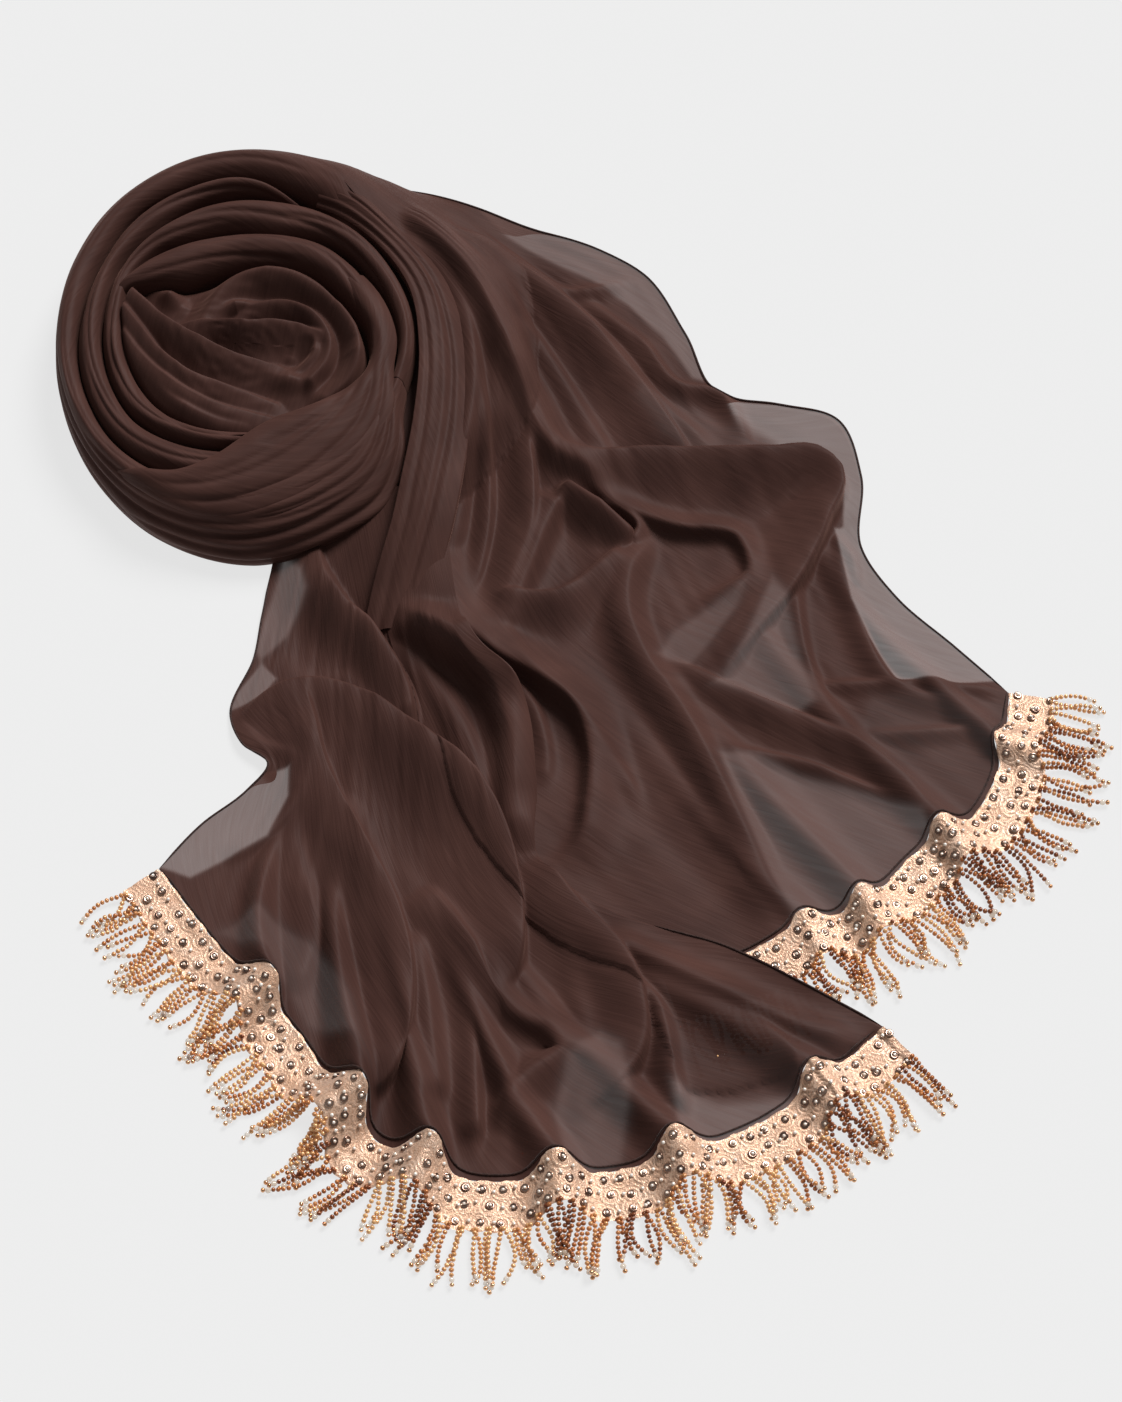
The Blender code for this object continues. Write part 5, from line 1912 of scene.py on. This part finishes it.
REAR_END = End(
    name="rear",
    top=((-152, 385, 54), (-148, 392, 53), (-144, 399, 47), (-140, 407, 31)),
    hem_points=((62, -216), (110, -199), (150, -178), (194, -160), (228, -124), (264, -100), (288, -56),
                (297, -2)),
    left=((-152, 385), (-126, 350), (-95, 308), (-84, 250), (-86, 190), (-94, 120), (-106, 60), (-86, -10),
          (-60, -90), (-4, -170), (62, -216)),
    right=((-140, 407), (-96, 402), (-36, 386), (24, 366), (54, 346), (84, 292), (107, 240), (150, 231),
           (188, 220), (204, 172), (202, 112), (224, 73), (262, 34), (297, -2)),
    ridges=(
        Ridge(0.30, 8, 8, 11),
        Ridge(0.42, 9, 12, 11),
        Ridge(0.64, 11, 14, 12),
        Ridge(0.88, 8, 11, 11),
    ),
    folds=(
        Fold("first from the rosette", (15, 24, 16), (22, 7), 0.4,
             ((-130, 377), (-78, 316), (-42, 236), (-9, 175), (36, 160))),
        Fold("second from the rosette", (6, 8, 5), (9, 11), 0.4,
             ((-102, 386), (-66, 343), (-28, 286), (6, 223), (30, 175))),
        Fold("third from the rosette", (11, 18, 11), (8, 18), 0.4,
             ((-81, 374), (-15, 318), (41, 247), (86, 176))),
        Fold("double edge", (3, 8, 5), (6, 8), 0.3, ((3, 326), (52, 279), (74, 245), (107, 235), (126, 196))),
        Fold("long shelf", (14, 22, 8), (7, 22), 0.4,
             ((-30, 212), (-2, 182), (58, 178), (141, 175), (172, 175), (181, 166), (172, 132), (152, 85),
              (122, 43), (92, -1))),
        Fold("shelf return", (6, 12, 8), (8, 8), -0.4,
             ((-20, 200), (6, 172), (74, 132), (120, 122), (129, 89), (94, 64))),
        Fold("knot", (16, 20, 12), (8, 9), 0.4, ((-9, 158), (15, 136), (46, 112))),
        Fold("knot hook", (8, 10, 4), (5, 6), 0.3, ((46, 112), (52, 128), (40, 142), (22, 150))),
        Fold("pocket lip", (10, 15, 11), (8, 16), 0.4, ((-54, 72), (-1, 67), (23, 87), (43, 109))),
        Fold("left of the pocket", (13, 13, 7), (11, 16), 0.4, ((-9, 157), (-26, 112), (-46, 44))),
        Fold("turned edge", (12, 16, 10), (6, 20), -0.4,
             ((57, 121), (46, 71), (47, 59), (57, 27), (81, -15), (115, -94), (136, -150), (144, -172))),
        Fold("middle", (5, 10, 4), (7, 8), 0.3, ((-59, 71), (-26, 21), (11, -20), (47, -91))),
        Fold("middle swirl", (9, 17, 8), (16, 8), -0.3,
             ((-88, 120), (-82, 92), (-72, 57), (-48, 32), (-13, 6), (10, -18), (20, -51), (18, -85),
              (11, -117), (-4, -133))),
        Fold("middle fall", (3, 7, 3), (6, 7), 0.3, ((-58, 26), (-29, -6), (-15, -54), (-16, -74))),
        Fold("low band", (10, 13, 9), (8, 14), 0.3, ((64, 19), (115, -10), (198, -54), (237, -90))),
        Fold("low band edge", (4, 7, 4), (5, 6), 0.3, ((95, -47), (143, -56), (216, -85), (237, -92))),
        Fold("outer band", (3, 8, 5), (6, 8), 0.3, ((183, 117), (194, 55), (220, 1), (262, -16))),
        Fold("inner band", (4, 8, 4), (6, 8), 0.3, ((156, 107), (154, 65), (166, 0), (195, -43))),
        Fold("right shelf", (3, 6, 3), (5, 6), 0.3, ((166, 1), (220, 2), (290, -1))),
        Fold("low shelf", (3, 6, 3), (5, 6), 0.3, ((197, -36), (229, -36), (290, -30))),
        Fold("wide left", (8, 12, 7), (9, 10), 0.3,
             ((-131, 362), (-84, 314), (-68, 226), (-74, 165), (-84, 96))),
        Fold("left rib", (5, 9, 5), (5, 8), 0.3, ((-77, 295), (-58, 195), (-57, 120), (-66, 70))),
        Fold("right rib", (9, 16, 7), (6, 13), 0.3,
             ((-64, 298), (-34, 206), (-28, 140), (-44, 80), (-52, 50))),
        Fold("wedge", (3, 7, 3), (6, 7), 0.3, ((-81, 375), (-37, 347), (3, 325), (48, 338))),
        Fold("low second", (3, 6, 3), (5, 6), 0.3, ((139, 96), (119, 64), (80, 11))),
        Fold("right hang", (2, 6, 3), (5, 6), 0.3, ((183, 123), (194, 100), (196, 80))),
        Fold("mid fall", (2, 6, 3), (6, 7), 0.3, ((66, 0), (86, -50), (106, -110), (118, -160))),
        Fold("fourth from the rosette", (6, 9, 5), (7, 8), 0.4,
             ((-96, 396), (-40, 352), (20, 290), (66, 226), (104, 186))),
        Fold("fifth from the rosette", (4, 6, 3), (5, 6), 0.4,
             ((-104, 352), (-58, 290), (-16, 220), (0, 190))),
    ),
    windows=(
        Window("strip", 1.65, 9.0, ((-100, 424), (-34, 398), (60, 360), (84, 314), (110, 243), (87, 252),
                                   (66, 288), (42, 315), (17, 337), (-5, 349), (-44, 372))),
        Window("flap", 1.25, 5.0, ((109, 235), (151, 232), (196, 224), (211, 171), (212, 112), (188, 116),
                                   (191, 174), (180, 188), (142, 189), (124, 196))),
        Window("second flap", 2.8, 16.0, ((51, 247), (93, 230), (124, 211), (143, 198), (120, 181), (92, 180),
                                         (65, 198), (44, 232))),
        Window("triangle", 1.2, 4.0, ((183, 130), (212, 130), (230, 78), (262, 46), (300, 8), (264, 3),
                                      (221, 5), (203, 38), (192, 69))),
        Window("middle", 2.2, 15.0, ((56, 24), (68, 48), (90, 64), (118, 84), (130, 100), (121, 64),
                                     (100, 32), (83, 11))),
        Window("second middle", 2.0, 14.0, ((139, 93), (153, 69), (161, 21), (171, -14), (149, -25),
                                            (119, -10), (93, -2), (117, 37))),
        Window("low", 2.05, 12.0, ((96, -49), (128, -49), (154, -63), (200, -78), (236, -94), (243, -112),
                                 (217, -146), (174, -173), (147, -178), (130, -145), (111, -93))),
        Window("right", 3.0, 16.0, ((201, -1), (243, -1), (305, -5), (306, -26), (294, -36), (290, -59),
                                   (281, -91), (251, -117), (236, -94), (207, -63), (189, -36))),
    ),
    coarse=(22, 33),
    fine=(300, 250),
    dense=5.5,
    edges_from=(0.9, 0.02),
    seed=11,
)


# ---- the two ends, their edges and the studio ----


def add_edges(end: End, cloth: Sheet, finish: bpy.types.Material, radius: float = 0.75) -> bpy.types.Object:
    """The rolled and sewn edges of one end: its hem and its two sides, as thin tubes.

    Args:
        end: the end.
        cloth: its cloth before its edges are turned.
        finish: the material.
        radius: the radius of the roll.

    Returns:
        The object.
    """
    grid = cloth.points
    left, right = (int(part * len(grid)) for part in end.edges_from)
    lines = (grid[-2] + np.array([0.0, 0.0, 0.5]), grid[left:, 0], grid[right:, -1])
    tubes = []
    for line in lines:
        even = curve_through(line[::3], int(lengths_along(line)[-1] / 2.4))
        tubes.append(tube(even + np.array([0.0, 0.0, 0.3]), radius))
    points, faces = joined(tubes)
    points[:, 2] = np.maximum(points[:, 2], 0.1)
    made = link_mesh(f"{end.name}_edges", points, faces, finish)
    return made


def build_end(end: End, table: Table, finishes: Finishes, root: Array | None) -> list[bpy.types.Object]:
    """One end of the hijab: its cloth, its edges, its trim and its fringe.

    Args:
        end: its sizes.
        table: what it is laid on, to which it is added.
        finishes: the materials.
        root: the line of the rosette that it runs on from, if any.

    Returns:
        Its pieces.
    """
    sheet = end.shape(table, root)
    cloth = add_sheet(f"{end.name}_cloth", TurnedEdge().turn(sheet, table), finishes.chiffon)
    edges = add_edges(end, sheet, finishes.edge)
    trim = Trim(f"{end.name}_band", end, sheet, finishes)
    made = [cloth, edges, *trim.build()]
    band = trim.sheet
    fringe = Fringe(f"{end.name}_fringe", trim, band.points[-1], finishes)
    beads = fringe.build()
    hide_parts(f"{end.name}_fringe")
    dress(cloth, f"{end.name}_tail")
    table.lay(finer(sheet.points, 2 * end.fine[0], 2 * end.fine[1]))
    cover = band.points[-1:] + 40.0 * np.dstack([trim.outward[None], np.zeros((1, trim.columns, 1))])
    cover[..., 2] = 3.0
    table.lay(finer(np.concatenate([band.points[::6], cover]), 60, 2 * trim.columns))
    return made + beads


@dataclass
class Studio:
    """A plain pale floor, plain soft light and the camera at the photo's angle."""

    target: tuple[float, float, float] = (-0.004, -0.007, 0.0)
    distance: float = 2.6
    elevation: float = 60.0
    lens: float = 99.5
    sky: float = 0.22
    sun: float = 3.8
    sun_spread: float = 26.0
    sun_from: tuple[float, float, float] = (0.6, 0.8, 1.1)
    floor_shade: float = 0.1
    floor_glow: float = 0.74

    def build(self) -> None:
        """Makes the floor, the lights and the camera."""
        bpy.ops.object.select_all(action="DESELECT")
        bpy.ops.mesh.primitive_plane_add(size=24.0, location=(0.0, 0.0, 0.0))
        floor = bpy.context.object
        floor.name = "floor"
        made = bpy.data.materials.new("floor_paper")
        made.use_nodes = True
        shader = made.node_tree.nodes["Principled BSDF"]
        shader.inputs["Base Color"].default_value = (*(self.floor_shade,) * 3, 1.0)
        shader.inputs["Roughness"].default_value = 0.9
        shader.inputs["Specular IOR Level"].default_value = 0.0
        shader.inputs["Emission Color"].default_value = (1.0, 1.0, 1.0, 1.0)
        shader.inputs["Emission Strength"].default_value = self.floor_glow
        floor.data.materials.append(made)
        world = bpy.data.worlds.new("studio_fill")
        world.use_nodes = True
        back = world.node_tree.nodes["Background"]
        back.inputs["Color"].default_value = (1.0, 1.0, 1.0, 1.0)
        back.inputs["Strength"].default_value = self.sky
        bpy.context.scene.world = world
        lamp = bpy.data.lights.new("key_light", "SUN")
        lamp.energy = self.sun
        lamp.angle = math.radians(self.sun_spread)
        light = bpy.data.objects.new("key_light", lamp)
        light.rotation_euler = Vector(self.sun_from).to_track_quat("Z", "Y").to_euler()
        bpy.context.scene.collection.objects.link(light)
        self.camera()
        scene = bpy.context.scene
        scene.view_settings.view_transform = "Standard"
        scene.cycles.transparent_max_bounces = 32

    def camera(self) -> None:
        """The camera, above and in front of the hijab."""
        lens = bpy.data.cameras.new("camera")
        lens.lens = self.lens
        lens.sensor_width = 36.0
        lens.clip_end = 50.0
        camera = bpy.data.objects.new("camera", lens)
        up = math.radians(self.elevation)
        back = Vector((0.0, -math.cos(up), math.sin(up)))
        camera.location = Vector(self.target) + self.distance * back
        camera.rotation_euler = back.to_track_quat("Z", "Y").to_euler()
        bpy.context.scene.collection.objects.link(camera)
        bpy.context.scene.camera = camera


def main() -> None:
    """Makes the hijab from its rosette outwards and the studio, and logs the triangles of each piece."""
    finishes = Finishes()
    table = Table()
    pieces = Rosette(finishes, table).build()
    LOG.info("rosette: %d pieces", len(pieces))
    turn = OUTER_TURN.shape().points[OUTER_TURN.step_at(REAR_ROOT_ANGLE)]
    root = turn[turn[:, 2].argmax() :]
    for end, line in ((REAR_END, root), (FRONT_END, np.array(FRONT_ROOT))):
        made = build_end(end, table, finishes, line)
        LOG.info("%s end: %d pieces", end.name, len(made))
        pieces += made
    for piece in pieces:
        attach(piece, "root")
        piece.data.calc_loop_triangles()
        LOG.info("%s: %d triangles", piece.name, len(piece.data.loop_triangles))
    Studio().build()


if __name__ == "__main__":
    main()
